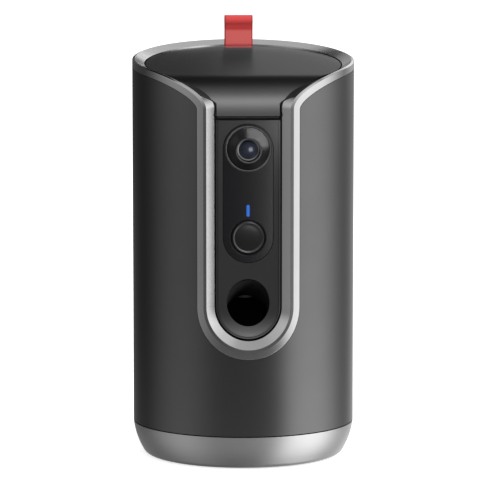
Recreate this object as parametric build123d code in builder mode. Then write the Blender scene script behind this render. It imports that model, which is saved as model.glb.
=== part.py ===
from build123d import *
from math import acos, atan, cos, hypot, pi, radians, sin, sqrt, tan
import os

# Rotating treat-tossing pet camera, every piece as its own solid.
# Millimetres, +Z up, the camera looks towards -Y, origin at the centre of the footprint.

os.makedirs("parts", exist_ok=True)

# ------------------------------------------------------------------ driving dimensions
body_r = 62.5            # outer radius of the turret shell and of the base's top edge
shell_wall = 2.2         # wall of the turret shell
base_h = 19.0            # height of the seam between base and turret
seam_gap = 0.6           # open seam under the turret shell
rim_h = 224.1            # height of the rim's crest on the axis
rim_slope = 0.136        # rise of the rim per millimetre towards the back
fit_gap = 0.1            # gap between neighbouring pieces of one body
run_gap = 0.05           # radial gap of a running fit

shell_in_r = body_r - shell_wall
rim_tilt = atan(rim_slope)


def rim_plane(drop=0.0):
    """The slanted plane of the rim's crest, lowered by drop."""
    return Plane(origin=(0, 0, rim_h - drop), x_dir=(1, 0, 0), z_dir=(0, -sin(rim_tilt), cos(rim_tilt)))


def rim_z(y, drop=0.0):
    """Height of the lowered rim plane at depth y."""
    return rim_h + rim_slope * y - drop


def front_plane(y):
    """Upright plane at depth y that faces the front: local x is X, local y is Z."""
    return Plane(origin=(0, y, 0), x_dir=(1, 0, 0), z_dir=(0, -1, 0))


def side_plane(x, y, z):
    """Upright plane that faces +X with its origin at (x, y, z): local x is Y, local y is Z."""
    return Plane(origin=(x, y, z), x_dir=(0, 1, 0), z_dir=(1, 0, 0))


# ------------------------------------------------------------------ the trim's crest line
band_w = 3.8             # width of the trim's flush outer band
skin_gap = 0.12          # hairline between shell and trim
u_half = 24.75           # half width of the U at the trim's crest
u_centre_z = 90.8        # height of the centre of the U's round foot
flare_top_x = body_r - 6.35   # where the crest leaves the slanted rim
flare_top_pull = 14.17   # length of the flare curve's upper handle
flare_foot_z = rim_h - 24.55   # where the flare ends in the straight side
flare_foot_pull = 8.15   # length of the flare curve's lower handle
panel_depth = 9.0        # recess of the panel behind the body's front
panel_y = panel_depth - body_r
cove_r = 36.0            # radius of the cove at the panel's foot
cove_top_z = u_centre_z - 0.5    # where the cove starts
trim_in_half = 18.4      # half width of the U at the trim's inner edge
trim_depth = 6.8         # radial width of the whole rim
lining_share = 0.12      # share of the bevel that stays metal along the flare


def on_body(x, z):
    """Point of the front half of the body's outer surface."""
    return Vector(x, -sqrt(body_r ** 2 - x ** 2), z)


def crest_point(s):
    """Crest line on the +X side: 0-1 rim from the back, 1-2 flare, 2-3 side, 3-4 round foot."""
    if s <= 1:
        end_angle = pi - acos(sqrt(1 - (flare_top_x / body_r) ** 2))
        angle = end_angle * s
        y = body_r * cos(angle)
        return Vector(body_r * sin(angle), y, rim_z(y))
    if s <= 2:
        t = s - 1
        y_top = -sqrt(body_r ** 2 - flare_top_x ** 2)
        slope = -rim_slope * flare_top_x / y_top
        pull_x = flare_top_pull / hypot(1, slope)
        knots = (
            (flare_top_x, rim_z(y_top)),
            (flare_top_x - pull_x, rim_z(y_top) - pull_x * slope),
            (u_half, flare_foot_z + flare_foot_pull),
            (u_half, flare_foot_z),
        )
        shares = ((1 - t) ** 3, 3 * t * (1 - t) ** 2, 3 * t * t * (1 - t), t ** 3)
        x = sum(share * knot[0] for share, knot in zip(shares, knots))
        z = sum(share * knot[1] for share, knot in zip(shares, knots))
        return on_body(x, z)
    if s <= 3:
        return on_body(u_half, flare_foot_z + (u_centre_z - flare_foot_z) * (s - 2))
    angle = (s - 3) * pi / 2
    return on_body(u_half * cos(angle), u_centre_z - u_half * sin(angle))


def crest_frame(s):
    """Origin, direction into the opening, outward normal and section plane at s."""
    step = 0.002
    point = crest_point(s)
    along = (crest_point(s + step) - crest_point(s - step)).normalized()
    outward = Vector(point.X, point.Y, 0).normalized()
    inward = along.cross(outward).normalized()
    return point, inward, outward, Plane(origin=point, x_dir=inward, z_dir=inward.cross(outward))


def cove_y(z, surface_y=panel_y, radius=cove_r):
    """Depth of the panel's front face at height z."""
    drop = max(0.0, cove_top_z - z)
    return surface_y - (radius - sqrt(radius ** 2 - drop ** 2))


def blend(a, b, t):
    """Point between a and b, eased."""
    ease = t * t * (3 - 2 * t)
    return (a[0] + (b[0] - a[0]) * ease, a[1] + (b[1] - a[1]) * ease)


def bevel_line(s):
    """Section points of the trim: where the facet ends and where the bevel ends."""
    facet_rim = (0.45, -1.3)
    facet_u = (1.65, -0.3)
    bevel_rim = (-2.35, -trim_depth)
    point, inward, outward, _ = crest_frame(max(s, 2))
    if s > 3:
        angle = (s - 3) * pi / 2
        x = trim_in_half * cos(angle)
        z = u_centre_z - trim_in_half * sin(angle)
    else:
        x = trim_in_half
        z = point.Z
    edge = Vector(x, cove_y(z), z) - point
    bevel_u = (edge.dot(inward), edge.dot(outward))
    t = min(max(s - 1, 0), 1)
    return blend(facet_rim, facet_u, t), blend(bevel_rim, bevel_u, t)


def metal_share(s):
    """Share of the bevel that belongs to the metal trim: all of it at the rim and at the U."""
    fade_in = min(max((s - 1.0) / 0.25, 0), 1)
    z = crest_point(s).Z
    fade_out = min(max((z - flare_foot_z + 4.05) / 5.5, 0), 1) if s > 1.5 else 1
    return 1 - (1 - lining_share) * fade_in * fade_out


def along_bevel(s, share):
    """Point on the bevel's section line."""
    facet, end = bevel_line(s)
    return (facet[0] + (end[0] - facet[0]) * share, facet[1] + (end[1] - facet[1]) * share)


def shifted(point, dx, dy):
    """Section point moved by (dx, dy)."""
    return (point[0] + dx, point[1] + dy)


def band_edge(s, reach):
    """Section point on the body's outer surface, reach away from the crest."""
    _, inward, _, _ = crest_frame(s)
    level = hypot(inward.X, inward.Y)
    return (-reach, sqrt(body_r ** 2 - (reach * level) ** 2) - body_r)


tongue = 3.2             # how far the trim reaches behind the shell
tongue_t = 2.0           # thickness of that tongue


def rear_shift(s):
    """From the bevel's end to the rear corner behind it."""
    t = min(max(s - 1, 0), 1) ** 3
    return (-2.6 + 0.6 * t, -1.2 * t)


def trim_profile(s):
    """Closed section of the metal trim."""
    facet, _ = bevel_line(s)
    bevel_end = along_bevel(s, metal_share(s))
    outer = band_edge(s, band_w)
    lap = band_edge(s, band_w + tongue)
    behind = -shell_wall - run_gap
    return [
        outer,
        (0, 0),
        facet,
        bevel_end,
        shifted(bevel_end, *rear_shift(s)),
        (lap[0], lap[1] + behind - tongue_t),
        (lap[0], lap[1] + behind),
        (outer[0], outer[1] + behind),
    ]


def cheek_profile(s):
    """Closed section of the black liner that takes over the bevel along the flare."""
    share = metal_share(s)
    start = along_bevel(s, share + 0.08)
    end = along_bevel(s, 1.0)
    hook = shifted(along_bevel(s, share), *rear_shift(s))
    return [
        start,
        end,
        shifted(end, *rear_shift(s)),
        shifted(hook, -1.8, -1.15),
        shifted(hook, -1.0, -0.6),
        shifted(start, *rear_shift(s)),
    ]


def skin_point(s):
    """Front view of the shell's edge beside the trim."""
    point, inward, outward, _ = crest_frame(s)
    edge = band_edge(s, band_w + skin_gap)
    edge_point = point + inward * edge[0] + outward * edge[1]
    return (edge_point.X, edge_point.Z)


def loft_along(stations, profile):
    """Solid of the +X side through the profile at each station."""
    with BuildPart() as half:
        for s in stations:
            with BuildSketch(crest_frame(s)[3]):
                with BuildLine():
                    Polyline(*profile(s), close=True)
                make_face()
        loft(ruled=True)
    return half.part


def spaced(first, last, count):
    """Evenly spaced stations, both ends included."""
    return [first + (last - first) * i / count for i in range(count + 1)]


rim_stations = spaced(0, 0.95, 19)
flare_stations = spaced(1.0, 2.0, 22)
side_stations = [2.012, 2.037, 2.5]
foot_stations = spaced(3.0, 4.0, 12)
path = rim_stations + flare_stations + side_stations + foot_stations

# ------------------------------------------------------------------ turret: trim and shell
with BuildPart() as trim_ring:
    add(loft_along(path, trim_profile))
    mirror(about=Plane.YZ)

with BuildPart() as visor_cheeks:
    add(loft_along(spaced(1.2, 2.0, 10) + [2.015], cheek_profile))
    mirror(about=Plane.YZ)

hole_r = 0.9             # sound holes at the back
hole_pitch = 3.6
speaker_z = 62.0

with BuildPart() as body_shell:
    with BuildSketch(Plane.XY.offset(base_h + seam_gap)):
        Circle(body_r)
        Circle(shell_in_r, mode=Mode.SUBTRACT)
    extrude(amount=rim_h)
    split(bisect_by=rim_plane((band_w + skin_gap) / cos(rim_tilt)), keep=Keep.BOTTOM)
    with BuildSketch(front_plane(0)):
        with BuildLine():
            edge_points = [skin_point(s) for s in spaced(1.0, 2.0, 11)]
            top_point = edge_points[0]
            side_point = edge_points[-1]
            foot_point = (0, skin_point(4.0)[1])
            Polyline((0, rim_h + 30), (top_point[0], rim_h + 30), top_point)
            Spline(*edge_points)
            Line(side_point, (side_point[0], u_centre_z))
            EllipticalCenterArc(
                (0, u_centre_z),
                side_point[0],
                u_centre_z - foot_point[1],
                start_angle=270,
                arc_size=90,
            )
            Line(foot_point, (0, rim_h + 30))
        make_face()
        mirror(about=Plane.YZ)
    extrude(amount=body_r + 5, mode=Mode.SUBTRACT)
    with BuildSketch(front_plane(0)):
        with Locations((0, speaker_z)):
            with HexLocations(hole_pitch / 2, 7, 7):
                Circle(hole_r)
    extrude(amount=-(body_r + 5), mode=Mode.SUBTRACT)

# ------------------------------------------------------------------ base
foot_h = 0.5             # how far the rubber foot stands out
base_edge_r = body_r - 9.5   # radius where the base's round flank meets its underside
plate_r = body_r - 15.5  # underside cover
plate_top = 5.0
ledge_z = 3.0
seat_out_r = body_r - 8.5    # ring that carries the turning bearing
seat_in_r = seat_out_r - 7.5
race_z = 12.2            # underside of the lower race
race_h = 3.0
ball_r = 2.0
ball_pitch_r = (seat_in_r + seat_out_r) / 2
ball_gap = 1.6           # open gap between the two races
ball_z = race_z + race_h + ball_gap / 2
turntable_z = race_z + 2 * race_h + ball_gap   # underside of the turret's floor
turntable_t = 3.0
hub_r = 11.0
hub_bore_r = 7.0
hub_top = turntable_z + 6.3
gear_z = 8.0             # the turning drive's gears
gear_t = 6.0
pan_module = 1.25
gear_rim = 5.0           # metal between the ring gear's pitch circle and its outside
gear_clear = 1.5         # free space between ring gear and bearing seat
ring_teeth = round(2 * (seat_in_r - gear_clear - gear_rim) / pan_module)
gear_out_r = pan_module * ring_teeth / 2 + gear_rim
pinion_teeth = 16
pinion_y = pan_module * (ring_teeth - pinion_teeth) / 2
usb_z = plate_top + 3.25     # centre of the inlet
usb_half_w = 4.47
usb_half_h = 1.63
usb_mouth_y = body_r - 3.6

with BuildPart() as base_shell:
    with BuildSketch(Plane.XZ):
        with BuildLine():
            ThreePointArc((body_r, base_h), (body_r - 2.05, 10.2), (body_r - 5.5, 2.9))
            ThreePointArc((body_r - 5.5, 2.9), (body_r - 7.0, 1.25), (base_edge_r, foot_h))
            Polyline((base_edge_r, foot_h), (plate_r + fit_gap, foot_h), (plate_r + fit_gap, ledge_z),
                     (base_edge_r - 0.5, ledge_z))
            ThreePointArc((base_edge_r - 0.5, ledge_z), (body_r - 4.9, 9.0), (body_r - 2.5, base_h))
            Line((body_r - 2.5, base_h), (body_r, base_h))
        make_face()
    revolve(axis=Axis.Z)
    with BuildSketch(front_plane(0)):
        with Locations((0, usb_z)):
            SlotOverall(2 * usb_half_w + 0.4, 2 * usb_half_h + 0.4)
    extrude(amount=-(body_r + 5), mode=Mode.SUBTRACT)

notch_half = 8.4         # channel for the supply board through the rings of the base
board_top = plate_top + 1.6
board_l = 37.5           # length of the supply board
board_inset = 5.4        # from the inlet's mouth back to the board's edge
board_mid_y = usb_mouth_y - board_inset - board_l / 2

with BuildPart() as base_plate:
    with BuildSketch(Plane.XY.offset(foot_h)):
        Circle(plate_r)
    extrude(amount=ledge_z - foot_h)
    with BuildSketch(Plane.XY.offset(ledge_z)):
        Circle(base_edge_r - 1.5)
    extrude(amount=plate_top - ledge_z)
    with BuildSketch(Plane.XY.offset(plate_top)):
        Circle(hub_r)
    extrude(amount=hub_top - plate_top)
    with BuildSketch(Plane.XY.offset(plate_top)):
        Circle(gear_out_r)
        Circle(gear_out_r - 3.5, mode=Mode.SUBTRACT)
    extrude(amount=gear_z - plate_top)
    with BuildSketch(Plane.XY.offset(plate_top)):
        Circle(seat_out_r)
        Circle(seat_in_r, mode=Mode.SUBTRACT)
    extrude(amount=race_z - plate_top)
    with BuildSketch(Plane.XY.offset(plate_top)):
        Circle(hub_bore_r)
    extrude(amount=hub_top, mode=Mode.SUBTRACT)
    with BuildSketch(Plane.XY.offset(plate_top)):
        with Locations((0, body_r / 2 + hub_r)):
            Rectangle(2 * notch_half, body_r)
    extrude(amount=2 * (usb_z - plate_top) - 1.0, mode=Mode.SUBTRACT)
    with BuildSketch(Plane.XY.offset(foot_h)):
        Circle(plate_r - 3.0)
        Circle(plate_r - 9.0, mode=Mode.SUBTRACT)
    extrude(amount=1.0, mode=Mode.SUBTRACT)

with BuildPart() as foot_ring:
    with BuildSketch(Plane.XY):
        Circle(plate_r - 3.0 - fit_gap)
        Circle(plate_r - 9.0 + fit_gap, mode=Mode.SUBTRACT)
    extrude(amount=foot_h + 1.0)

screw_ring_r = plate_r + 2.4

with BuildPart() as base_screws:
    with BuildSketch(Plane.XY.offset(foot_h)):
        with PolarLocations(screw_ring_r, 4, start_angle=45):
            Circle(1.9)
    extrude(amount=1.2)
    with BuildSketch(Plane.XY.offset(foot_h + 1.2)):
        with PolarLocations(screw_ring_r, 4, start_angle=45):
            Circle(1.1)
    extrude(amount=5.0)
for cut_piece in (base_shell, base_plate):
    cut_piece.part = cut_piece.part - base_screws.part

def tooth_angles(teeth, module, radius, play):
    """Half angle of a tooth at a radius, 20 degree involute, thinned by play."""
    pitch_r = module * teeth / 2
    base_r = pitch_r * cos(radians(20))
    at = max(radius, base_r)
    turn = acos(base_r / at)
    involute = tan(turn) - turn
    involute_pitch = tan(radians(20)) - radians(20)
    return pi / (2 * teeth) + involute_pitch - involute - play / pitch_r


def gear_points(teeth, module, root_r, tip_r, play, first_angle):
    """Outline of a spur gear with a tooth at first_angle (radians)."""
    base_r = module * teeth / 2 * cos(radians(20))
    foot_r = max(base_r, root_r)
    radii = [root_r, foot_r + 0.02, (foot_r + tip_r) / 2, tip_r]
    points = []
    for i in range(teeth):
        middle = first_angle + 2 * pi * i / teeth
        rising = [(r, middle - tooth_angles(teeth, module, r, play)) for r in radii]
        falling = [(r, middle + tooth_angles(teeth, module, r, play)) for r in reversed(radii)]
        points += [(r * cos(a), r * sin(a)) for r, a in rising + falling]
    return points


flank_play = 0.05

with BuildPart() as ring_gear:
    with BuildSketch(Plane.XY.offset(gear_z)):
        Circle(gear_out_r)
        with BuildLine():
            pitch_r = pan_module * ring_teeth / 2
            Polyline(
                *gear_points(ring_teeth, pan_module, pitch_r - 0.85, pitch_r + 1.5, -flank_play, pi / 2),
                close=True,
            )
        make_face(mode=Mode.SUBTRACT)
    extrude(amount=gear_t)

with BuildPart() as pan_pinion:
    with BuildSketch(Plane(origin=(0, pinion_y, gear_z))):
        with BuildLine():
            pitch_r = pan_module * pinion_teeth / 2
            Polyline(
                *gear_points(pinion_teeth, pan_module, pitch_r - 1.15, pitch_r + 1.1, flank_play, pi / 2),
                close=True,
            )
        make_face()
    extrude(amount=gear_t)
    with BuildSketch(Plane(origin=(0, pinion_y, gear_z))):
        Circle(2.5)
    extrude(amount=21.5)


def race(underside, groove_z):
    """Ring with a ball groove."""
    with BuildPart() as ring:
        with BuildSketch(Plane.XY.offset(underside)):
            Circle(seat_out_r)
            Circle(seat_in_r, mode=Mode.SUBTRACT)
        extrude(amount=race_h)
        with BuildSketch(Plane.XZ):
            with Locations((ball_pitch_r, groove_z)):
                Circle(ball_r + run_gap)
        revolve(axis=Axis.Z, mode=Mode.SUBTRACT)
    return ring


bearing_lower_race = race(race_z, ball_z)
bearing_upper_race = race(turntable_z - race_h, ball_z)

with BuildPart() as bearing_balls:
    with PolarLocations(ball_pitch_r, 24):
        with Locations((0, 0, ball_z)):
            Sphere(ball_r)

with BuildPart() as power_board:
    with BuildSketch(Plane.XY.offset(plate_top)):
        with Locations((0, board_mid_y)):
            Rectangle(2 * notch_half - 0.6, board_l)
    extrude(amount=board_top - plate_top)
    with BuildSketch(Plane.XY.offset(board_top)):
        with Locations((0, board_mid_y)):
            with Locations((-4, -12.75), (4, -12.75), (0, -3.75), (4.5, 5.25)):
                Rectangle(4, 4)
    extrude(amount=1.2)

with BuildPart() as power_socket:
    with BuildSketch(front_plane(usb_mouth_y)):
        with Locations((0, usb_z)):
            SlotOverall(2 * usb_half_w, 2 * usb_half_h)
            SlotOverall(2 * usb_half_w - 0.8, 2 * usb_half_h - 0.8, mode=Mode.SUBTRACT)
    extrude(amount=7.6)
    with BuildSketch(front_plane(usb_mouth_y - 7.6)):
        with Locations((0, usb_z)):
            SlotOverall(2 * usb_half_w, 2 * usb_half_h)
    extrude(amount=1.2)
    with BuildSketch(front_plane(usb_mouth_y - 0.7)):
        with Locations((0, usb_z)):
            Rectangle(6.7, 0.7)
    extrude(amount=7.2)

with BuildPart() as slip_ring:
    with BuildSketch(Plane.XY.offset(plate_top)):
        Circle(hub_bore_r - run_gap)
    extrude(amount=19)
    with BuildSketch(Plane.XY.offset(plate_top + 13)):
        Circle(3.0 + run_gap)
    extrude(amount=6, mode=Mode.SUBTRACT)

with BuildPart() as hub_washer:
    with BuildSketch(Plane.XY.offset(hub_top)):
        Circle(15)
        Circle(hub_bore_r, mode=Mode.SUBTRACT)
        with PolarLocations(9, 3):
            Circle(0.9, mode=Mode.SUBTRACT)
    extrude(amount=1.2)

with BuildPart() as hub_screws:
    with BuildSketch(Plane.XY.offset(hub_top - 6)):
        with PolarLocations(9, 3):
            Circle(0.9)
    extrude(amount=7.2)
    with BuildSketch(Plane.XY.offset(hub_top + 1.2)):
        with PolarLocations(9, 3):
            Circle(1.7)
    extrude(amount=1.0)
base_plate.part = base_plate.part - hub_screws.part

# ------------------------------------------------------------------ turret floor and turning drive
floor_top = turntable_z + turntable_t
motor_r = 14.0
motor_y = pinion_y + 8.0
ear_x = 17.5

with BuildPart() as motor_screws:
    with BuildSketch(Plane.XY.offset(turntable_z + 0.5)):
        with Locations((-ear_x, motor_y), (ear_x, motor_y)):
            Circle(1.2)
    extrude(amount=turntable_t + 0.5)
    with BuildSketch(Plane.XY.offset(floor_top + 1.0)):
        with Locations((-ear_x, motor_y), (ear_x, motor_y)):
            Circle(2.1)
    extrude(amount=1.4)

with BuildPart() as turntable:
    with BuildSketch(Plane.XY.offset(turntable_z)):
        Circle(shell_in_r)
    extrude(amount=turntable_t)
    with BuildSketch(Plane.XY.offset(floor_top)):
        Circle(15)
    extrude(amount=hub_top - 0.2 - floor_top)
    with BuildSketch(Plane.XY.offset(turntable_z)):
        Circle(hub_r + run_gap)
        with Locations((0, pinion_y)):
            Circle(2.8)
    extrude(amount=hub_top, mode=Mode.SUBTRACT)
    add(motor_screws.part, mode=Mode.SUBTRACT)

with BuildPart() as pan_motor:
    with BuildSketch(Plane.XY.offset(floor_top)):
        with Locations((0, motor_y)):
            Circle(motor_r)
    extrude(amount=19)
    with BuildSketch(Plane.XY.offset(floor_top)):
        with Locations((0, motor_y)):
            SlotOverall(2 * ear_x + 7, 7)
    extrude(amount=1.0)
    with BuildSketch(Plane.XY.offset(floor_top)):
        with Locations((0, pinion_y)):
            Circle(2.5 + run_gap)
    extrude(amount=7.2, mode=Mode.SUBTRACT)
    add(motor_screws.part, mode=Mode.SUBTRACT)

with BuildPart() as slip_ring_bracket:
    bridge_z = hub_top + 3.0
    with BuildSketch(Plane.XY.offset(bridge_z)):
        Rectangle(8, 44)
        Circle(3.0 + run_gap, mode=Mode.SUBTRACT)
    extrude(amount=1.6)
    with BuildSketch(Plane.XY.offset(floor_top)):
        with Locations((0, -20.5), (0, 20.5)):
            Rectangle(8, 3)
    extrude(amount=bridge_z - floor_top)

with BuildPart() as slip_ring_rotor:
    with BuildSketch(Plane.XY.offset(plate_top + 13.2)):
        Circle(3.0)
    extrude(amount=bridge_z + 1.6 - plate_top - 13.2)
    with BuildSketch(Plane.XY.offset(bridge_z + 1.6)):
        Circle(6)
    extrude(amount=2.4)

board_z = floor_top + 13.2   # underside of the main board
board_w = 60.0           # width of the main board
standoff_y = panel_y + 25.0  # middle of the four standoffs

with BuildPart() as board_standoffs:
    with BuildSketch(Plane.XY.offset(floor_top)):
        with Locations((0, standoff_y)):
            with GridLocations(board_w - 8, 21, 2, 2):
                Circle(2.5)
    extrude(amount=board_z - floor_top)

with BuildPart() as main_board:
    with BuildSketch(Plane.XY.offset(board_z)):
        with Locations((0, standoff_y + 0.25)):
            RectangleRounded(board_w, 28.5, 2)
    extrude(amount=1.6)
    with BuildSketch(Plane.XY.offset(board_z + 1.6)):
        with Locations((-6, standoff_y + 0.5)):
            Rectangle(13, 13)
        with Locations((-20, standoff_y + 8.5), (-20, standoff_y - 7.5), (10, standoff_y + 8.5)):
            Rectangle(7, 5)
    extrude(amount=1.4)
    with BuildSketch(Plane.XY.offset(board_z + 1.6)):
        with Locations((17, standoff_y - 8.5)):
            Rectangle(10, 4)
    extrude(amount=2.4)

# ------------------------------------------------------------------ front: frame, panel, window
panel_half = 17.7        # half width of the panel
panel_top = rim_h - 30.8
panel_t = 2.2
panel_back = panel_y + panel_t
frame_t = 2.4
frame_back = panel_back + frame_t
frame_half = 22.0
frame_top = panel_top + 1.7
window_half = 13.8       # half width of the glossy window
window_y = panel_y + 0.6
lens_z = panel_top - 15.7
button_z = 128.7
light_z = button_z + 14.9
button_r = 8.8
outlet_z = u_centre_z + 1.8
outlet_r = 12.0
outlet_rise = radians(25)
tube_t = 1.3
lens_hole_r = 12.65
button_travel = 1.0
switch_tip_y = panel_back + fit_gap + 3.0 + button_travel + 0.1
switch_board_y = switch_tip_y + 3.4
post_x = 12.0            # half spacing of the posts behind the button

outlet_dir = Vector(0, -cos(outlet_rise), sin(outlet_rise))
outlet_up = Vector(0, sin(outlet_rise), cos(outlet_rise))


def outlet_axis(depth):
    """Point of the outlet's axis, depth behind the panel's face."""
    return Vector(0, panel_y, outlet_z) - outlet_dir * depth


def outlet_plane(depth):
    """Plane across the outlet's axis."""
    return Plane(origin=outlet_axis(depth), x_dir=(1, 0, 0), z_dir=outlet_dir)


def stadium(half_width, low_z, high_z):
    """Upright stadium drawn on a front plane."""
    middle = (low_z + high_z) / 2
    with Locations((0, middle)):
        SlotOverall(high_z - low_z + 2 * half_width, 2 * half_width, rotation=90)


chamber_depth = 23.5     # where the outlet tube meets the throwing chamber

with BuildPart() as outlet_bore:
    with BuildSketch(outlet_plane(chamber_depth)):
        Circle(outlet_r + tube_t + fit_gap)
    extrude(amount=60)

with BuildPart() as outlet_mouth:
    with BuildSketch(outlet_plane(chamber_depth)):
        Circle(outlet_r - 0.2)
    extrude(amount=60)

with BuildPart() as front_frame:
    with BuildSketch(front_plane(frame_back)):
        with BuildLine():
            Polyline((-frame_half, u_centre_z), (-frame_half, frame_top), (frame_half, frame_top),
                     (frame_half, u_centre_z))
            ThreePointArc((frame_half, u_centre_z), (0, u_centre_z - frame_half), (-frame_half, u_centre_z))
        make_face()
        with Locations((0, lens_z)):
            Circle(lens_hole_r + 0.6, mode=Mode.SUBTRACT)
        with Locations((0, button_z)):
            Circle(button_r + 2.2, mode=Mode.SUBTRACT)
        with Locations((0, light_z)):
            Rectangle(4, 8.4, mode=Mode.SUBTRACT)
    extrude(amount=frame_t)
    leg_in = frame_half - 2.4
    with BuildSketch(Plane.XY.offset(floor_top)):
        with Locations((-(leg_in + frame_half) / 2, frame_back + 2.4), ((leg_in + frame_half) / 2, frame_back + 2.4)):
            Rectangle(frame_half - leg_in, 2 * 2.4 + frame_t)
    extrude(amount=lens_z - 8 - floor_top)
    with BuildSketch(front_plane(panel_back)):
        with Locations((0, frame_top - 0.4)):
            Rectangle(2 * panel_half - 1.4, 0.8)
    extrude(amount=1.5)
    with BuildSketch(front_plane(switch_board_y)):
        post_low = button_z - 13.2
        post_high = button_z + 18.3
        with Locations((0, (post_low + post_high) / 2)):
            with GridLocations(2 * post_x, post_high - post_low, 2, 2):
                Circle(1.6)
    extrude(amount=switch_board_y - frame_back)
    add(outlet_bore.part, mode=Mode.SUBTRACT)

with BuildPart() as front_panel:
    with BuildSketch(Plane.YZ):
        foot_z = u_centre_z - panel_half
        back_r = cove_r + panel_t
        with BuildLine():
            front_line = Polyline((panel_y, panel_top), (panel_y, cove_top_z))
            front_arc = ThreePointArc(
                (panel_y, cove_top_z),
                (cove_y((cove_top_z + foot_z) / 2), (cove_top_z + foot_z) / 2),
                (cove_y(foot_z), foot_z),
            )
            Polyline((cove_y(foot_z), foot_z), (cove_y(foot_z, panel_back, back_r), foot_z))
            ThreePointArc(
                (cove_y(foot_z, panel_back, back_r), foot_z),
                (cove_y((cove_top_z + foot_z) / 2, panel_back, back_r), (cove_top_z + foot_z) / 2),
                (panel_back, cove_top_z),
            )
            Polyline((panel_back, cove_top_z), (panel_back, panel_top), (panel_y, panel_top))
        make_face()
    extrude(amount=panel_half, both=True)
    with BuildSketch(front_plane(0)):
        with BuildLine():
            Polyline((-panel_half, u_centre_z), (-panel_half, panel_top), (panel_half, panel_top),
                     (panel_half, u_centre_z))
            ThreePointArc((panel_half, u_centre_z), (0, foot_z), (-panel_half, u_centre_z))
        make_face()
    extrude(amount=body_r, mode=Mode.INTERSECT)
    with BuildSketch(front_plane(0)):
        stadium(window_half, button_z, lens_z)
    extrude(amount=body_r, mode=Mode.SUBTRACT)
    add(outlet_mouth.part, mode=Mode.SUBTRACT)

with BuildPart() as lens_panel:
    with BuildSketch(front_plane(panel_back)):
        stadium(window_half - fit_gap, button_z, lens_z)
        with Locations((0, lens_z)):
            Circle(lens_hole_r, mode=Mode.SUBTRACT)
        with Locations((0, button_z)):
            Circle(button_r + 0.25, mode=Mode.SUBTRACT)
        with Locations((0, light_z)):
            SlotOverall(6.5, 1.9, rotation=90, mode=Mode.SUBTRACT)
    extrude(amount=panel_back - window_y)

with BuildPart() as status_light:
    with BuildSketch(front_plane(frame_back + 1.0)):
        with Locations((0, light_z)):
            SlotOverall(6.5, 1.9, rotation=90)
    extrude(amount=frame_back + 1.0 - window_y)

with BuildPart() as button_cap:
    with BuildSketch(front_plane(panel_back + fit_gap)):
        with Locations((0, button_z)):
            Circle(button_r)
    extrude(amount=panel_back + fit_gap - panel_y)
    chamfer(button_cap.faces().sort_by(Axis.Y)[0].edges(), length=0.5, length2=1.5)
    with BuildSketch(front_plane(panel_back + fit_gap + 1.1)):
        with Locations((0, button_z)):
            Circle(button_r + 1.5)
    extrude(amount=1.1)
    with BuildSketch(front_plane(panel_back + fit_gap + 3.0)):
        with Locations((0, button_z)):
            Circle(2.5)
    extrude(amount=1.9)

with BuildPart() as button_board:
    with BuildSketch(front_plane(switch_board_y + 1.2)):
        with Locations((0, (post_low + post_high) / 2)):
            RectangleRounded(2 * post_x + 4, post_high - post_low + 5.5, 2)
    extrude(amount=1.2)
    with BuildSketch(front_plane(switch_board_y)):
        with Locations((0, light_z)):
            Rectangle(3, 6)
    extrude(amount=1.6)

with BuildPart() as button_switch:
    with BuildSketch(front_plane(switch_board_y)):
        with Locations((0, button_z)):
            Rectangle(6.2, 6.2)
    extrude(amount=3.0)
    with BuildSketch(front_plane(switch_board_y - 3.0)):
        with Locations((0, button_z)):
            Circle(1.75)
    extrude(amount=0.4)

# ------------------------------------------------------------------ camera
lens_tilt = radians(8)
lens_dir = Vector(0, -cos(lens_tilt), -sin(lens_tilt))
lens_centre = Vector(0, window_y - 0.3, lens_z)
cone_top_r = 7.4
cone_foot_r = 11.4
cone_rise = 5.2
barrel_r = 6.5
glass_r = 5.2


def lens_plane(reach):
    """Plane across the tilted optical axis, reach in front of the window."""
    return Plane(origin=lens_centre + lens_dir * reach, x_dir=(1, 0, 0), z_dir=lens_dir)


with BuildPart() as lens_bezel:
    with BuildSketch(front_plane(panel_back)):
        with Locations((0, lens_z)):
            Circle(lens_hole_r - run_gap)
            Circle(cone_foot_r + 0.3, mode=Mode.SUBTRACT)
    extrude(amount=panel_back - window_y + 0.5)
    chamfer(lens_bezel.faces().sort_by(Axis.Y)[0].edges(), length=0.3)

with BuildPart() as lens_cone:
    with BuildSketch(front_plane(window_y + 0.3)):
        with Locations((0, lens_z)):
            Circle(cone_foot_r)
    with BuildSketch(lens_plane(cone_rise)):
        Circle(cone_top_r)
    loft()
    with BuildSketch(front_plane(frame_back)):
        with Locations((0, lens_z)):
            Circle(cone_foot_r)
    extrude(amount=frame_back - window_y - 0.3)
    with BuildSketch(front_plane(frame_back)):
        with Locations((0, lens_z)):
            Circle(lens_hole_r + 1.6)
    extrude(amount=-1.4)
    with BuildSketch(lens_plane(-12)):
        Circle(barrel_r + run_gap)
    extrude(amount=30, mode=Mode.SUBTRACT)

barrel_back = 14.0       # how far the barrel reaches back from the window's face

with BuildPart() as lens_barrel:
    with BuildSketch(lens_plane(-barrel_back)):
        Circle(barrel_r)
    extrude(amount=barrel_back + cone_rise - 0.5)
    with BuildSketch(lens_plane(-barrel_back)):
        Circle(glass_r + run_gap)
    extrude(amount=30, mode=Mode.SUBTRACT)

glass_sag = 2.4          # height of the front element's dome
glass_edge = cone_rise - 1.2

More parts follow.
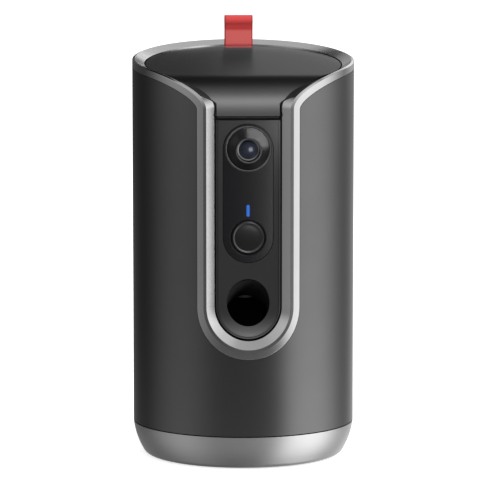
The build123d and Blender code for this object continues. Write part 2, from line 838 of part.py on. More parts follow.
with BuildPart() as lens_glass:
    dome_r = (glass_r ** 2 + glass_sag ** 2) / (2 * glass_sag)
    with BuildSketch(Plane(origin=lens_centre, x_dir=(1, 0, 0), z_dir=(lens_dir.cross(Vector(1, 0, 0))))):
        axis_sign = 1
        with BuildLine():
            Polyline((0, -(glass_edge - 4)), (glass_r, -(glass_edge - 4)), (glass_r, -glass_edge))
            ThreePointArc(
                (glass_r, -glass_edge),
                (dome_r * sin(0.5 * acos(1 - glass_sag / dome_r)),
                 -(glass_edge + glass_sag - dome_r * (1 - cos(0.5 * acos(1 - glass_sag / dome_r))))),
                (0, -(glass_edge + glass_sag)),
            )
            Line((0, -(glass_edge + glass_sag)), (0, -(glass_edge - 4)))
        make_face()
    revolve(axis=Axis(lens_centre, lens_dir))

with BuildPart() as camera_board:
    with BuildSketch(lens_plane(-barrel_back - 1.2)):
        RectangleRounded(25, 25, 2)
    extrude(amount=1.2)
    with BuildSketch(lens_plane(-barrel_back)):
        Rectangle(7, 7)
    extrude(amount=2.0)

flex_y = panel_y + 17.1
flex_x = 21.0            # outer edge of the flex where it runs down

with BuildPart() as camera_flex:
    with BuildSketch(front_plane(flex_y + 0.3)):
        with BuildLine():
            flex_top = lens_z - 4.6
            flex_foot = board_z + 4.0
            Polyline((6, flex_top), (flex_x, flex_top), (flex_x, flex_foot), (flex_x - 5.9, flex_foot),
                     (flex_x - 5.9, flex_top - 4.0), (6, flex_top - 4.0), close=True)
        make_face()
    extrude(amount=0.3)

# ------------------------------------------------------------------ outlet, throwing chamber, paddle
chute_y = panel_y + 40.5  # axis of the drop from wheel to chamber
chamber_half = 12.4
chamber_wall = 2.4
chamber_top = outlet_z - 0.6
chute_h = 33.5           # drop from the wheel to the chamber
deck_z = chamber_top + chute_h   # underside of the dispenser's deck
arm_depth = 54.5         # depth on the outlet's axis under the paddle's forward position
floor_r = outlet_r + 24.0
pivot = outlet_axis(arm_depth) + outlet_up * (floor_r - outlet_r)
rear_angle = radians(32)

with BuildPart() as outlet_tube:
    with BuildSketch(outlet_plane(chamber_depth)):
        Circle(outlet_r + tube_t)
        Circle(outlet_r, mode=Mode.SUBTRACT)
    extrude(amount=45)
    with BuildSketch(front_plane(panel_back)):
        with Locations((0, outlet_z)):
            Rectangle(60, 60)
    extrude(amount=40, mode=Mode.SUBTRACT)


def pivot_point(radius, angle):
    """Depth and height of a point at an angle from the hanging position, rearward positive."""
    return (pivot.Y + radius * sin(angle), pivot.Z - radius * cos(angle))


def chamber_outline(radius):
    """Side outline of the throwing chamber with a floor of the given radius."""
    mouth = outlet_axis(chamber_depth + run_gap)
    low = mouth - outlet_up * (radius - floor_r + outlet_r)
    high = mouth + outlet_up * ((chamber_top - mouth.Z) / outlet_up.Z)
    rear = pivot_point(radius, rear_angle)
    rear_top = pivot.Y + radius * sin(rear_angle) * (0.62 if radius > floor_r else 0.55)
    with BuildSketch() as outline:
        with BuildLine():
            Line((high.Y, high.Z), (low.Y, low.Z))
            Line((low.Y, low.Z), pivot_point(radius, -outlet_rise))
            ThreePointArc(pivot_point(radius, -outlet_rise), pivot_point(radius, 0), rear)
            Polyline(rear, (rear_top, chamber_top), (high.Y, high.Z))
        make_face()
    return outline.sketch


motor_axis_y = pivot.Y + 24.0
motor_axis_z = pivot.Z

with BuildPart() as launcher_chamber:
    with BuildSketch(Plane.YZ):
        add(chamber_outline(floor_r + chamber_wall))
    extrude(amount=chamber_half + chamber_wall, both=True)
    with BuildSketch(Plane.YZ):
        add(chamber_outline(floor_r))
    extrude(amount=chamber_half, both=True, mode=Mode.SUBTRACT)
    with BuildSketch(Plane.XY.offset(floor_top)):
        leg_x = chamber_half + chamber_wall / 2
        with Locations((-leg_x, 15), (leg_x, 15)):
            Rectangle(chamber_wall, 10)
        with Locations((-leg_x, -11.8), (leg_x, -11.8)):
            Rectangle(chamber_wall, 3.6)
    extrude(amount=pivot.Z - 12 - floor_top)
    with BuildSketch(Plane.YZ.offset(chamber_half)):
        with Locations((motor_axis_y, motor_axis_z)):
            Circle(12)
        with Locations(((pivot.Y + motor_axis_y) / 2, motor_axis_z - 6)):
            Rectangle(motor_axis_y - pivot.Y, 12)
    extrude(amount=chamber_wall)
    with BuildSketch(Plane.YZ.offset(-30)):
        with Locations((pivot.Y, pivot.Z)):
            Circle(2.0 + run_gap)
    extrude(amount=60, mode=Mode.SUBTRACT)
    with BuildSketch(Plane.YZ.offset(0)):
        with Locations((motor_axis_y, motor_axis_z)):
            Circle(3.0)
    extrude(amount=60, mode=Mode.SUBTRACT)

paddle_rest = radians(20)
paddle_half = chamber_half - 0.7
paddle_reach = floor_r - 0.7

with BuildPart() as launcher_paddle:
    with BuildSketch(Plane.YZ):
        with Locations((pivot.Y, pivot.Z)):
            Circle(4.4)
        side = Vector(0, cos(paddle_rest), sin(paddle_rest)) * 1.5
        near = pivot_point(2, paddle_rest)
        far = pivot_point(paddle_reach, paddle_rest)
        with BuildLine():
            Polyline(
                (near[0] - side.Y, near[1] - side.Z),
                (far[0] - side.Y, far[1] - side.Z),
                (far[0] + side.Y, far[1] + side.Z),
                (near[0] + side.Y, near[1] + side.Z),
                close=True,
            )
        make_face()
    extrude(amount=paddle_half, both=True)
    with BuildSketch(Plane.YZ.offset(-30)):
        with Locations((pivot.Y, pivot.Z)):
            Circle(2.0)
    extrude(amount=60, mode=Mode.SUBTRACT)

launcher_x = 17.0        # inner face of the launcher's gears
launcher_gear_t = 4.0
launcher_teeth = 36
launcher_pinion_teeth = 12

with BuildPart() as launcher_shaft:
    with BuildSketch(Plane.YZ.offset(-(chamber_half + chamber_wall + 1.5))):
        with Locations((pivot.Y, pivot.Z)):
            Circle(2.0)
    extrude(amount=chamber_half + chamber_wall + 1.5 + launcher_x + launcher_gear_t + 0.5)

with BuildPart() as launcher_gear:
    with BuildSketch(side_plane(launcher_x, pivot.Y, pivot.Z)):
        with BuildLine():
            Polyline(*gear_points(launcher_teeth, 1.0, 16.75, 18.75, flank_play, 0.0), close=True)
        make_face()
        Circle(2.0, mode=Mode.SUBTRACT)
        with PolarLocations(10.5, 5):
            Circle(3.2, mode=Mode.SUBTRACT)
    extrude(amount=launcher_gear_t)

with BuildPart() as launcher_pinion:
    half_pitch = pi / launcher_pinion_teeth
    with BuildSketch(side_plane(launcher_x, motor_axis_y, motor_axis_z)):
        with BuildLine():
            Polyline(*gear_points(launcher_pinion_teeth, 1.0, 4.95, 6.95, flank_play, half_pitch), close=True)
        make_face()
    extrude(amount=launcher_gear_t)
    with BuildSketch(side_plane(8, motor_axis_y, motor_axis_z)):
        Circle(1.0)
    extrude(amount=launcher_x - 8)

with BuildPart() as launcher_motor:
    with BuildSketch(Plane.YZ.offset(chamber_half)):
        with Locations((motor_axis_y, motor_axis_z)):
            Circle(10)
    extrude(amount=-25)
    with BuildSketch(Plane.YZ.offset(chamber_half - 25)):
        with Locations((motor_axis_y, motor_axis_z)):
            Circle(3.5)
    extrude(amount=-2)
    with BuildSketch(Plane.YZ.offset(7.5)):
        with Locations((motor_axis_y, motor_axis_z)):
            Circle(1.0 + run_gap)
    extrude(amount=10, mode=Mode.SUBTRACT)

with BuildPart() as drop_chute:
    with BuildSketch(Plane.XY.offset(chamber_top + fit_gap)):
        with Locations((0, chute_y)):
            Circle(outlet_r + tube_t)
            Circle(outlet_r, mode=Mode.SUBTRACT)
    extrude(amount=deck_z - chamber_top - fit_gap)

# ------------------------------------------------------------------ dispenser
deck_t = 2.5
deck_top = deck_z + deck_t
wheel_y = chute_y + 27.0
wheel_r = 41.2
wheel_h = 14.0
housing_in_r = wheel_r + 0.4
housing_out_r = housing_in_r + 2.0
housing_top = deck_top + wheel_h + 1.0
pocket_r = 11.2
post_xy = (42.4, 24.5)
deck_front = panel_y + 13.5  # front edge of the deck behind the camera

with BuildPart() as dispenser_deck:
    with BuildSketch(Plane.XY.offset(deck_z)):
        Circle(shell_in_r - 3.3)
        with Locations((0, deck_front - body_r / 2)):
            Rectangle(2 * body_r, body_r, mode=Mode.SUBTRACT)
        with Locations((0, chute_y)):
            Circle(outlet_r, mode=Mode.SUBTRACT)
        with Locations((0, wheel_y)):
            Circle(2.8, mode=Mode.SUBTRACT)
        with Locations((flex_x - 3.5, flex_y + 0.15)):
            Rectangle(7.4, 3, mode=Mode.SUBTRACT)
    extrude(amount=deck_t)
    with BuildSketch(Plane.XY.offset(deck_top)):
        with Locations((0, wheel_y)):
            Circle(housing_out_r)
            Circle(housing_in_r, mode=Mode.SUBTRACT)
    extrude(amount=housing_top - deck_top)

with BuildPart() as deck_posts:
    with BuildSketch(Plane.XY.offset(floor_top)):
        with GridLocations(2 * post_xy[0], 2 * post_xy[1], 2, 2):
            Circle(3.5)
    extrude(amount=deck_z - floor_top)

with BuildPart() as dispenser_wheel:
    with BuildSketch(Plane.XY.offset(deck_top + 0.5)):
        with Locations((0, wheel_y)):
            Circle(wheel_r)
            with PolarLocations(wheel_y - chute_y, 6, start_angle=-90):
                Circle(pocket_r, mode=Mode.SUBTRACT)
    extrude(amount=wheel_h)
    with BuildSketch(Plane.XY.offset(deck_z - 8)):
        with Locations((0, wheel_y)):
            Circle(2.4)
    extrude(amount=8 + deck_t + 0.5)

with BuildPart() as dispenser_motor:
    with BuildSketch(Plane.XY.offset(deck_z - 22)):
        with Locations((0, wheel_y)):
            Circle(12)
    extrude(amount=22)
    with BuildSketch(Plane.XY.offset(deck_z - 8.5)):
        with Locations((0, wheel_y)):
            Circle(2.4 + run_gap)
    extrude(amount=8.5, mode=Mode.SUBTRACT)

funnel_y = wheel_y + 18.0    # where the hopper's funnel lets treats into the wheel
funnel_r = 19.0

with BuildPart() as wheel_cover:
    with BuildSketch(Plane.XY.offset(housing_top)):
        with Locations((0, wheel_y)):
            Circle(housing_out_r)
        with Locations((0, funnel_y)):
            Circle(funnel_r, mode=Mode.SUBTRACT)
    extrude(amount=1.6)

# ------------------------------------------------------------------ hopper
hopper_r = body_r - 7.9
hopper_front = panel_y + 26.5    # flat front wall behind the camera
hopper_wall = 2.0
hopper_floor = housing_top + 29.0
cup_y = 13.5
cup_r = 38.0
flange_drop = 13.0       # underside of the hopper's flange below the rim's crest
flange_t = 2.0
collar_r = body_r - 4.9
rest_drop = flange_drop - flange_t


def d_shape(radius, front, mode=Mode.ADD):
    """Circle with a flat front."""
    with BuildSketch() as outline:
        Circle(radius)
        with Locations((0, front - radius)):
            Rectangle(4 * radius, 2 * radius, mode=Mode.SUBTRACT)
    add(outline.sketch, mode=mode)


def slab_cut(low_drop, high_drop):
    """Thick slanted slab between two drops below the rim's crest."""
    with BuildPart() as slab:
        with BuildSketch(rim_plane(low_drop)):
            Rectangle(4 * body_r, 4 * body_r)
        extrude(amount=(low_drop - high_drop) * cos(rim_tilt))
    return slab.part


with BuildPart() as hopper:
    with BuildSketch(Plane.XY.offset(hopper_floor - hopper_wall)):
        d_shape(hopper_r, hopper_front)
    extrude(amount=rim_h)
    with BuildSketch(Plane.XY.offset(hopper_floor)):
        d_shape(hopper_r - hopper_wall, hopper_front + hopper_wall)
    extrude(amount=rim_h, mode=Mode.SUBTRACT)
    split(bisect_by=rim_plane(rest_drop), keep=Keep.BOTTOM)
    with BuildSketch(Plane.XY.offset(housing_top + 1.6)):
        with Locations((0, funnel_y)):
            Circle(funnel_r + hopper_wall)
    with BuildSketch(Plane.XY.offset(hopper_floor)):
        with Locations((0, cup_y)):
            Circle(cup_r + hopper_wall)
    loft()
    with BuildSketch(Plane.XY.offset(housing_top + 1.6)):
        with Locations((0, funnel_y)):
            Circle(funnel_r)
    with BuildSketch(Plane.XY.offset(hopper_floor)):
        with Locations((0, cup_y)):
            Circle(cup_r)
    loft(mode=Mode.SUBTRACT)

with BuildPart() as flange:
    with BuildSketch(Plane.XY.offset(rim_h - 44)):
        Circle(collar_r)
        with Locations((0, panel_y + 8.5 - body_r)):
            Rectangle(4 * body_r, 2 * body_r, mode=Mode.SUBTRACT)
        d_shape(hopper_r - hopper_wall, hopper_front + hopper_wall, mode=Mode.SUBTRACT)
    extrude(amount=60)
    add(slab_cut(flange_drop, rest_drop), mode=Mode.INTERSECT)

with BuildPart() as collar:
    with BuildSketch(Plane.XY.offset(rim_h - 44)):
        d_shape(collar_r, hopper_front - 3)
        Circle(collar_r - 2.2, mode=Mode.SUBTRACT)
    extrude(amount=70)
    add(slab_cut(flange_drop, 7.3), mode=Mode.INTERSECT)
hopper.part = (hopper.part + flange.part + collar.part).clean()

with BuildPart() as speaker:
    speaker_r = 14.0
    speaker_face = sqrt(shell_in_r ** 2 - speaker_r ** 2) - fit_gap
    with BuildSketch(front_plane(speaker_face)):
        with Locations((0, speaker_z)):
            Circle(speaker_r)
    extrude(amount=4)
    with BuildSketch(front_plane(speaker_face - 4)):
        with Locations((0, speaker_z)):
            Circle(9)
    extrude(amount=6.5)

# ------------------------------------------------------------------ lid
lid_drop = 2.5           # lid's face below the rim's crest
lid_t = 2.4
lid_r = body_r - 7.4
visor_half = panel_half - 0.5
visor_foot_z = frame_top + 0.6
bend_r = 25.0
bend_y = panel_y + 20.6  # where the lid's face starts to bend down
bend_centre = Vector(0, bend_y, rim_z(bend_y, lid_drop)) - rim_plane().z_dir * bend_r


def lid_outline(inset):
    """Side outline of the lid's face, inset inwards and closed well below it."""
    radius = bend_r - inset
    top = bend_centre + rim_plane().z_dir * radius
    middle = bend_centre + Vector(0, cos(radians(135)), sin(radians(135))) * radius
    back = (70.0, rim_z(70.0, lid_drop) - inset / cos(rim_tilt))
    with BuildSketch() as outline:
        with BuildLine():
            Line(back, (top.Y, top.Z))
            ThreePointArc((top.Y, top.Z), (middle.Y, middle.Z), (bend_centre.Y - radius, bend_centre.Z))
            low = visor_foot_z - 20
            Polyline((bend_centre.Y - radius, bend_centre.Z), (bend_centre.Y - radius, low), (back[0], low), back)
        make_face()
    return outline.sketch


tab_y = lid_r - 2.2
tab_half = 8.2
tab_t = 3.8
slot_half = tab_half + fit_gap
slot_y = tab_y - tab_t / 2 - 2 * fit_gap

with BuildPart() as lid_cover:
    with BuildSketch(Plane.YZ):
        add(lid_outline(0))
    extrude(amount=body_r, both=True)
    with BuildSketch(Plane.YZ):
        add(lid_outline(lid_t))
    extrude(amount=body_r, both=True, mode=Mode.SUBTRACT)
    with BuildSketch(Plane.XY.offset(visor_foot_z)):
        Circle(lid_r)
        with Locations((0, panel_y + 5.5)):
            Rectangle(2 * visor_half, 20)
        with Locations((0, lid_r)):
            Rectangle(2 * slot_half, 2 * (lid_r - slot_y), mode=Mode.SUBTRACT)
    extrude(amount=rim_h - visor_foot_z + 31.5, mode=Mode.INTERSECT)

plug_gap = 0.6
plug_wall = 1.8
plug_r = hopper_r - hopper_wall - plug_gap
plug_front = hopper_front + hopper_wall + plug_gap
under_lid = lid_drop + lid_t / cos(rim_tilt)

with BuildPart() as lid_liner:
    with BuildSketch(Plane.XY.offset(rim_h - 44)):
        d_shape(plug_r, plug_front)
        d_shape(plug_r - plug_wall, plug_front + plug_wall, mode=Mode.SUBTRACT)
    extrude(amount=70)
    add(slab_cut(rest_drop + 5.0, under_lid), mode=Mode.INTERSECT)

with BuildPart() as lid_rest:
    with BuildSketch(Plane.XY.offset(rim_h - 44)):
        d_shape(lid_r - 0.6, plug_front - 2.0)
        d_shape(plug_r - 0.5, plug_front + 0.5, mode=Mode.SUBTRACT)
        with Locations((0, lid_r)):
            Rectangle(2 * slot_half, 2 * (lid_r - slot_y), mode=Mode.SUBTRACT)
    extrude(amount=70)
    add(slab_cut(rest_drop - 0.05, rest_drop - 1.6), mode=Mode.INTERSECT)

anchor_h = 6.5

with BuildPart() as anchor_room:
    with BuildSketch(Plane.XY.offset(rim_z(tab_y, lid_drop) - anchor_h - 0.2)):
        with Locations((0, lid_r)):
            Rectangle(2 * slot_half, 2 * (lid_r - slot_y))
    extrude(amount=30)
lid_liner.part = (lid_liner.part + lid_rest.part - anchor_room.part).clean()

with BuildPart() as lid_seal:
    with BuildSketch(Plane.XY.offset(rim_h - 44)):
        d_shape(plug_r + plug_gap - 0.15, plug_front - plug_gap + 0.15)
        d_shape(plug_r, plug_front, mode=Mode.SUBTRACT)
    extrude(amount=70)
    add(slab_cut(rest_drop + 3.6, rest_drop + 1.2), mode=Mode.INTERSECT)

tab_foot_z = rim_z(tab_y, lid_drop) + 2.1
tab_top_z = tab_foot_z + 16.4
roll_r = 3.3

with BuildPart() as pull_tab:
    with BuildSketch(Plane.YZ):
        with Locations((tab_y, tab_foot_z)):
            Circle(tab_t / 2)
        with Locations((tab_y, (tab_foot_z + tab_top_z - roll_r) / 2)):
            Rectangle(tab_t, tab_top_z - roll_r - tab_foot_z)
        with Locations((tab_y - 0.2, tab_top_z - roll_r)):
            Circle(roll_r)
            Circle(roll_r - 1.6, mode=Mode.SUBTRACT)
    extrude(amount=tab_half, both=True)

with BuildPart() as tab_anchor:
    with BuildSketch(Plane.XY.offset(rim_z(tab_y, lid_drop) - anchor_h)):
        with Locations((0, tab_y - fit_gap)):
            Rectangle(2 * tab_half, tab_t)
    extrude(amount=anchor_h)

# ------------------------------------------------------------------ writing the pieces
pieces = {
    "base_shell": base_shell,
    "base_plate": base_plate,
    "foot_ring": foot_ring,
    "base_screws": base_screws,
    "ring_gear": ring_gear,
    "bearing_lower_race": bearing_lower_race,
    "bearing_balls": bearing_balls,
    "power_board": power_board,
    "power_socket": power_socket,
    "slip_ring": slip_ring,
    "hub_washer": hub_washer,
    "hub_screws": hub_screws,
    "turntable": turntable,
    "bearing_upper_race": bearing_upper_race,
    "pan_motor": pan_motor,
    "motor_screws": motor_screws,
    "pan_pinion": pan_pinion,
    "slip_ring_rotor": slip_ring_rotor,
    "slip_ring_bracket": slip_ring_bracket,
    "main_board": main_board,
    "board_standoffs": board_standoffs,
    "body_shell": body_shell,
    "trim_ring": trim_ring,
    "visor_cheeks": visor_cheeks,
    "front_frame": front_frame,
    "front_panel": front_panel,
    "lens_panel": lens_panel,
    "lens_bezel": lens_bezel,
    "lens_cone": lens_cone,
    "lens_barrel": lens_barrel,
    "lens_glass": lens_glass,
    "camera_board": camera_board,
    "camera_flex": camera_flex,
    "status_light": status_light,
    "button_cap": button_cap,
    "button_switch": button_switch,
    "button_board": button_board,
    "outlet_tube": outlet_tube,
    "launcher_chamber": launcher_chamber,
    "launcher_paddle": launcher_paddle,
    "launcher_shaft": launcher_shaft,
    "launcher_gear": launcher_gear,
    "launcher_pinion": launcher_pinion,
    "launcher_motor": launcher_motor,
    "drop_chute": drop_chute,
    "dispenser_deck": dispenser_deck,
    "deck_posts": deck_posts,
    "dispenser_wheel": dispenser_wheel,
    "wheel_cover": wheel_cover,
    "dispenser_motor": dispenser_motor,
    "hopper": hopper,
    "speaker": speaker,
    "lid_cover": lid_cover,
    "lid_liner": lid_liner,
    "lid_seal": lid_seal,
    "pull_tab": pull_tab,
    "tab_anchor": tab_anchor,
}
for name, piece in pieces.items():
    piece.part.label = name
    export_step(piece.part, f"parts/{name}.step")
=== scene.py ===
import math

import bmesh
import bpy
from mathutils import Matrix, Vector


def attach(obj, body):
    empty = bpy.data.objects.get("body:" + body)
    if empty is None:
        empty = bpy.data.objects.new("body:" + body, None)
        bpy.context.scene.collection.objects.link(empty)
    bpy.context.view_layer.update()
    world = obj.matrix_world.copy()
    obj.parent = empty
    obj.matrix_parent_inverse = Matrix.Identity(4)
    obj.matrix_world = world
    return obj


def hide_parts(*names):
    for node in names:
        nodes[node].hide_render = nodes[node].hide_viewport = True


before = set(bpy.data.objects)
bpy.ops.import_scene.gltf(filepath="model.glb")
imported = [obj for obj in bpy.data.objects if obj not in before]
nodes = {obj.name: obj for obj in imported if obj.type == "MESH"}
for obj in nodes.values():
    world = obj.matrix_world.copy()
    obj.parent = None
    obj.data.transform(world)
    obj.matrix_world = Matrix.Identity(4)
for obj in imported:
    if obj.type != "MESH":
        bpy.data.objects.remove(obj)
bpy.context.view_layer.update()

MM = 0.001

# ------------------------------------------------------------------ sizes of the CAD model, in millimetres
BODY_R = 62.5
SHELL_WALL = 2.2
BASE_H = 19.0
SEAM_GAP = 0.6
RIM_H = 224.1
RIM_SLOPE = 0.136
BAND_W = 3.8
BAND_LAP = 3.2
SKIN_GAP = 0.12
U_HALF = 24.75
U_CENTRE_Z = 90.8
FLARE_TOP_X = 56.15
FLARE_TOP_PULL = 14.17
FLARE_FOOT_Z = 199.55
FLARE_FOOT_PULL = 8.15
PANEL_Y = -53.5
COVE_R = 36.0
COVE_TOP_Z = 90.3
TRIM_IN_HALF = 18.4
TRIM_DEPTH = 6.8
FACET_RIM, FACET_U = (0.45, -1.3), (1.65, -0.3)
BEVEL_END_RIM = (-2.35, -TRIM_DEPTH)
REAR_RIM, REAR_U = (-2.6, 0), (-2.0, -1.2)
LINING_SHARE = 0.12
LINING_FOOT_Z = 202.0
LINING_FADE = 3.5
PANEL_HALF = 17.7
PANEL_TOP = 193.3
PANEL_T = 2.2
PANEL_EDGE = 2.5
WINDOW_HALF = 13.8
WINDOW_Y = -52.9
WINDOW_T = 1.6
WINDOW_GAP = 0.12
LENS_Z = 177.6
LIGHT_Z = 143.6
LIGHT_BACK_Y = -47.95
BUTTON_Z = 128.7
OUTLET_Z = 92.6
OUTLET_RISE = math.radians(25)
MOUTH_R = 11.8
MOUTH_Z = OUTLET_Z + 0.3
LENS_TILT = math.radians(8)
LENS_HOLE_R = 12.65
LENS_SINK = 0.3
CONE_R = 11.4
CONE_RISE = 5.2
CONE_BORE_R = 6.55
CONE_DEPTH = 11.0
SOUND_ROWS = 7
SOUND_PITCH = 3.6
SOUND_R = 0.9
SOUND_SIDES = 16
SOUND_Z = 62.0
TAB_Y = 52.9
TAB_HALF = 8.2
LEAF_HALF = 1.78
TAB_TALL = 16.4
TAB_LIFT = 2.1
LID_SINK = 2.5
ROLL_R = 3.3
ROLL_STEPS = 32

# how finely round shapes are cut
CIRCLE_COUNT = 96
DOME_STEPS = 14


# ------------------------------------------------------------------ mesh helpers
def add_object(name, data):
    """New object in the scene."""
    piece = bpy.data.objects.new(name, data)
    bpy.context.scene.collection.objects.link(piece)
    return piece


def mark_edges(bm, sharp):
    """Marks open edges and edges that bend by more than sharp degrees."""
    limit = math.radians(sharp)
    for edge in bm.edges:
        edge.smooth = len(edge.link_faces) == 2 and edge.calc_face_angle(0) < limit


def mesh_piece(name, verts, faces, sharp=35.0):
    """Mesh object from points in millimetres, smooth apart from edges sharper than sharp degrees."""
    mesh = bpy.data.meshes.new(name)
    mesh.from_pydata([tuple(c * MM for c in v) for v in verts], [], faces)
    bm = bmesh.new()
    bm.from_mesh(mesh)
    bmesh.ops.remove_doubles(bm, verts=bm.verts, dist=1e-7)
    bmesh.ops.dissolve_degenerate(bm, edges=bm.edges, dist=1e-8)
    bmesh.ops.recalc_face_normals(bm, faces=bm.faces)
    for face in bm.faces:
        face.smooth = True
    mark_edges(bm, sharp)
    bm.to_mesh(mesh)
    bm.free()
    return add_object(name, mesh)


def quads(rows, size, first=0, rows_close=False, row_closes=True):
    """Faces between rows of size points that follow each other in one list, from the point first on."""
    faces = []
    for r in range(rows if rows_close else rows - 1):
        a, b = first + r * size, first + (r + 1) % rows * size
        for i in range(size if row_closes else size - 1):
            j = (i + 1) % size
            faces.append((a + i, a + j, b + j, b + i))
    return faces


def place(piece, body, material, slot, *replaced):
    """Gives a piece its body and material, and hides the nodes that it stands for; slot is not used."""
    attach(piece, body)
    dress(piece, material)
    if replaced:
        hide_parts(*replaced)


def dress(piece, material):
    """Gives a piece its only material."""
    piece.data.materials.clear()
    piece.data.materials.append(material)


def firm(piece):
    """Lets the large faces keep their direction, so that only the roundings between them turn."""
    weighted = piece.modifiers.new("weighted_normals", "WEIGHTED_NORMAL")
    weighted.keep_sharp = True
    weighted.weight = 90


def rounded(points, radii, closed=True, steps=4):
    """2-D outline with its corners rounded; nearly straight or folded corners stay as they are."""
    out = []
    count = len(points)
    least = 0.02
    for i, (point, radius) in enumerate(zip(points, radii)):
        p = Vector(point)
        a = Vector(points[i - 1]) - p
        b = Vector(points[(i + 1) % count]) - p
        at_end = not closed and i in (0, count - 1)
        half = 0 if radius <= 0 or at_end else a.angle(b) / 2
        if half < least or half > math.pi / 2 - least:
            out.append((p.x, p.y))
            continue
        cut = min(radius / math.tan(half), a.length * 0.45, b.length * 0.45)
        r = cut * math.tan(half)
        start = p + a.normalized() * cut
        end = p + b.normalized() * cut
        centre = p + (a.normalized() + b.normalized()).normalized() * (r / math.sin(half))
        first = start - centre
        turn = first.angle_signed(end - centre)
        for k in range(steps + 1):
            angle = -turn * k / steps
            c, s = math.cos(angle), math.sin(angle)
            out.append((centre.x + first.x * c - first.y * s, centre.y + first.x * s + first.y * c))
    return out


def circle(radius, count, centre=(0, 0), tall=1.0):
    """Closed circle, or ellipse of another height, as pairs."""
    turns = [2 * math.pi * i / count for i in range(count)]
    return [(centre[0] + radius * math.cos(a), centre[1] + radius * tall * math.sin(a)) for a in turns]


def lathe(name, profile, origin, axis, segments, closed=False):
    """Turned piece on an axis at right angles to X: profile holds (radius, height along the axis)."""
    z = axis.normalized()
    x = Vector((1, 0, 0))
    y = z.cross(x)
    verts, faces, rings = [], [], []
    for radius, height in profile:
        count = segments if radius > 1e-6 else 1
        rings.append(range(len(verts), len(verts) + count))
        for i in range(count):
            a = 2 * math.pi * i / segments
            verts.append(tuple(Vector(origin) + (x * math.cos(a) + y * math.sin(a)) * radius + z * height))
    for one, two in zip(rings, rings[1:] + rings[:1] if closed else rings[1:]):
        for i in range(segments):
            j = (i + 1) % segments
            corners = (one[i % len(one)], two[i % len(two)], two[j % len(two)], one[j % len(one)])
            faces.append(tuple(dict.fromkeys(corners)))
    return mesh_piece(name, verts, faces)


def evaluated_mesh(piece):
    """Mesh of a piece with its curve or modifiers worked out."""
    bpy.context.view_layer.update()
    return bpy.data.meshes.new_from_object(piece.evaluated_get(bpy.context.evaluated_depsgraph_get()))


def curve_mesh(name, loops, fill_mode, depth=0.0, bevel=0.0):
    """Filled 2-D curve through closed loops of (x, z) millimetres, drawn in X and Y."""
    data = bpy.data.curves.new(name, "CURVE")
    data.dimensions = "2D"
    data.fill_mode = fill_mode
    for loop in loops:
        spline = data.splines.new("POLY")
        spline.points.add(len(loop) - 1)
        for point, (x, z) in zip(spline.points, loop):
            point.co = (x * MM, z * MM, 0, 1)
        spline.use_cyclic_u = True
    data.bevel_depth = bevel * MM
    data.bevel_resolution = 3
    data.offset = -bevel * MM
    data.extrude = depth * MM / 2 - bevel * MM
    temp = add_object(name, data)
    mesh = evaluated_mesh(temp)
    bpy.data.objects.remove(temp)
    return mesh


def extruded(name, loops, y_front, y_back, bevel):
    """Upright plate from y_front to y_back with rounded edges; loops holds its outline and its holes."""
    mesh = curve_mesh(name + "_outline", loops, "BOTH", y_back - y_front, bevel)
    upright = Matrix.Rotation(math.pi / 2, 4, "X")
    mesh.transform(Matrix.Translation((0, (y_front + y_back) / 2 * MM, 0)) @ upright)
    bm = bmesh.new()
    bm.from_mesh(mesh)
    bmesh.ops.remove_doubles(bm, verts=bm.verts, dist=1e-6)
    for face in bm.faces:
        face.smooth = abs(face.normal.y) < 0.999
    mark_edges(bm, 35)
    bm.to_mesh(mesh)
    bm.free()
    mesh.name = name
    return add_object(name, mesh)


def stadium_points(half, low, high, count=48):
    """Closed upright stadium as (x, z) points."""
    turns = [math.pi * i / count for i in range(count + 1)]
    arc = [(half * math.cos(a), half * math.sin(a)) for a in turns]
    return [(x, high + z) for x, z in arc] + [(-x, low - z) for x, z in arc]


# ------------------------------------------------------------------ the trim's path, as in the CAD model
def rim_z(y):
    """Height of the rim plane at depth y."""
    return RIM_H + RIM_SLOPE * y


def on_body(x, z):
    """Point on the front half of the body's surface."""
    return Vector((x, -math.sqrt(BODY_R ** 2 - x ** 2), z))


def crest_point(s):
    """Crest line on the +X side: 0-1 rim from the back, 1-2 flare, 2-3 side, 3-4 round foot."""
    if s <= 1:
        end_angle = math.pi - math.acos(math.sqrt(1 - (FLARE_TOP_X / BODY_R) ** 2))
        a = end_angle * s
        y = BODY_R * math.cos(a)
        return Vector((BODY_R * math.sin(a), y, rim_z(y)))
    if s <= 2:
        t = s - 1
        y_top = -math.sqrt(BODY_R ** 2 - FLARE_TOP_X ** 2)
        slope = -RIM_SLOPE * FLARE_TOP_X / y_top
        pull = FLARE_TOP_PULL / math.hypot(1, slope)
        knots = (
            (FLARE_TOP_X, rim_z(y_top)),
            (FLARE_TOP_X - pull, rim_z(y_top) - pull * slope),
            (U_HALF, FLARE_FOOT_Z + FLARE_FOOT_PULL),
            (U_HALF, FLARE_FOOT_Z),
        )
        shares = ((1 - t) ** 3, 3 * t * (1 - t) ** 2, 3 * t * t * (1 - t), t ** 3)
        x = sum(w * k[0] for w, k in zip(shares, knots))
        z = sum(w * k[1] for w, k in zip(shares, knots))
        return on_body(x, z)
    if s <= 3:
        return on_body(U_HALF, FLARE_FOOT_Z + (U_CENTRE_Z - FLARE_FOOT_Z) * (s - 2))
    a = (s - 3) * math.pi / 2
    return on_body(U_HALF * math.cos(a), U_CENTRE_Z - U_HALF * math.sin(a))


def crest_frame(s):
    """Point, direction into the opening and outward normal at s."""
    step = 0.002
    point = crest_point(s)
    along = (crest_point(s + step) - crest_point(s - step)).normalized()
    outward = Vector((point.x, point.y, 0)).normalized()
    return point, along.cross(outward).normalized(), outward


def cove_y(z):
    """Depth of the panel's face at height z."""
    drop = max(0.0, COVE_TOP_Z - z)
    return PANEL_Y - (COVE_R - math.sqrt(COVE_R ** 2 - drop ** 2))


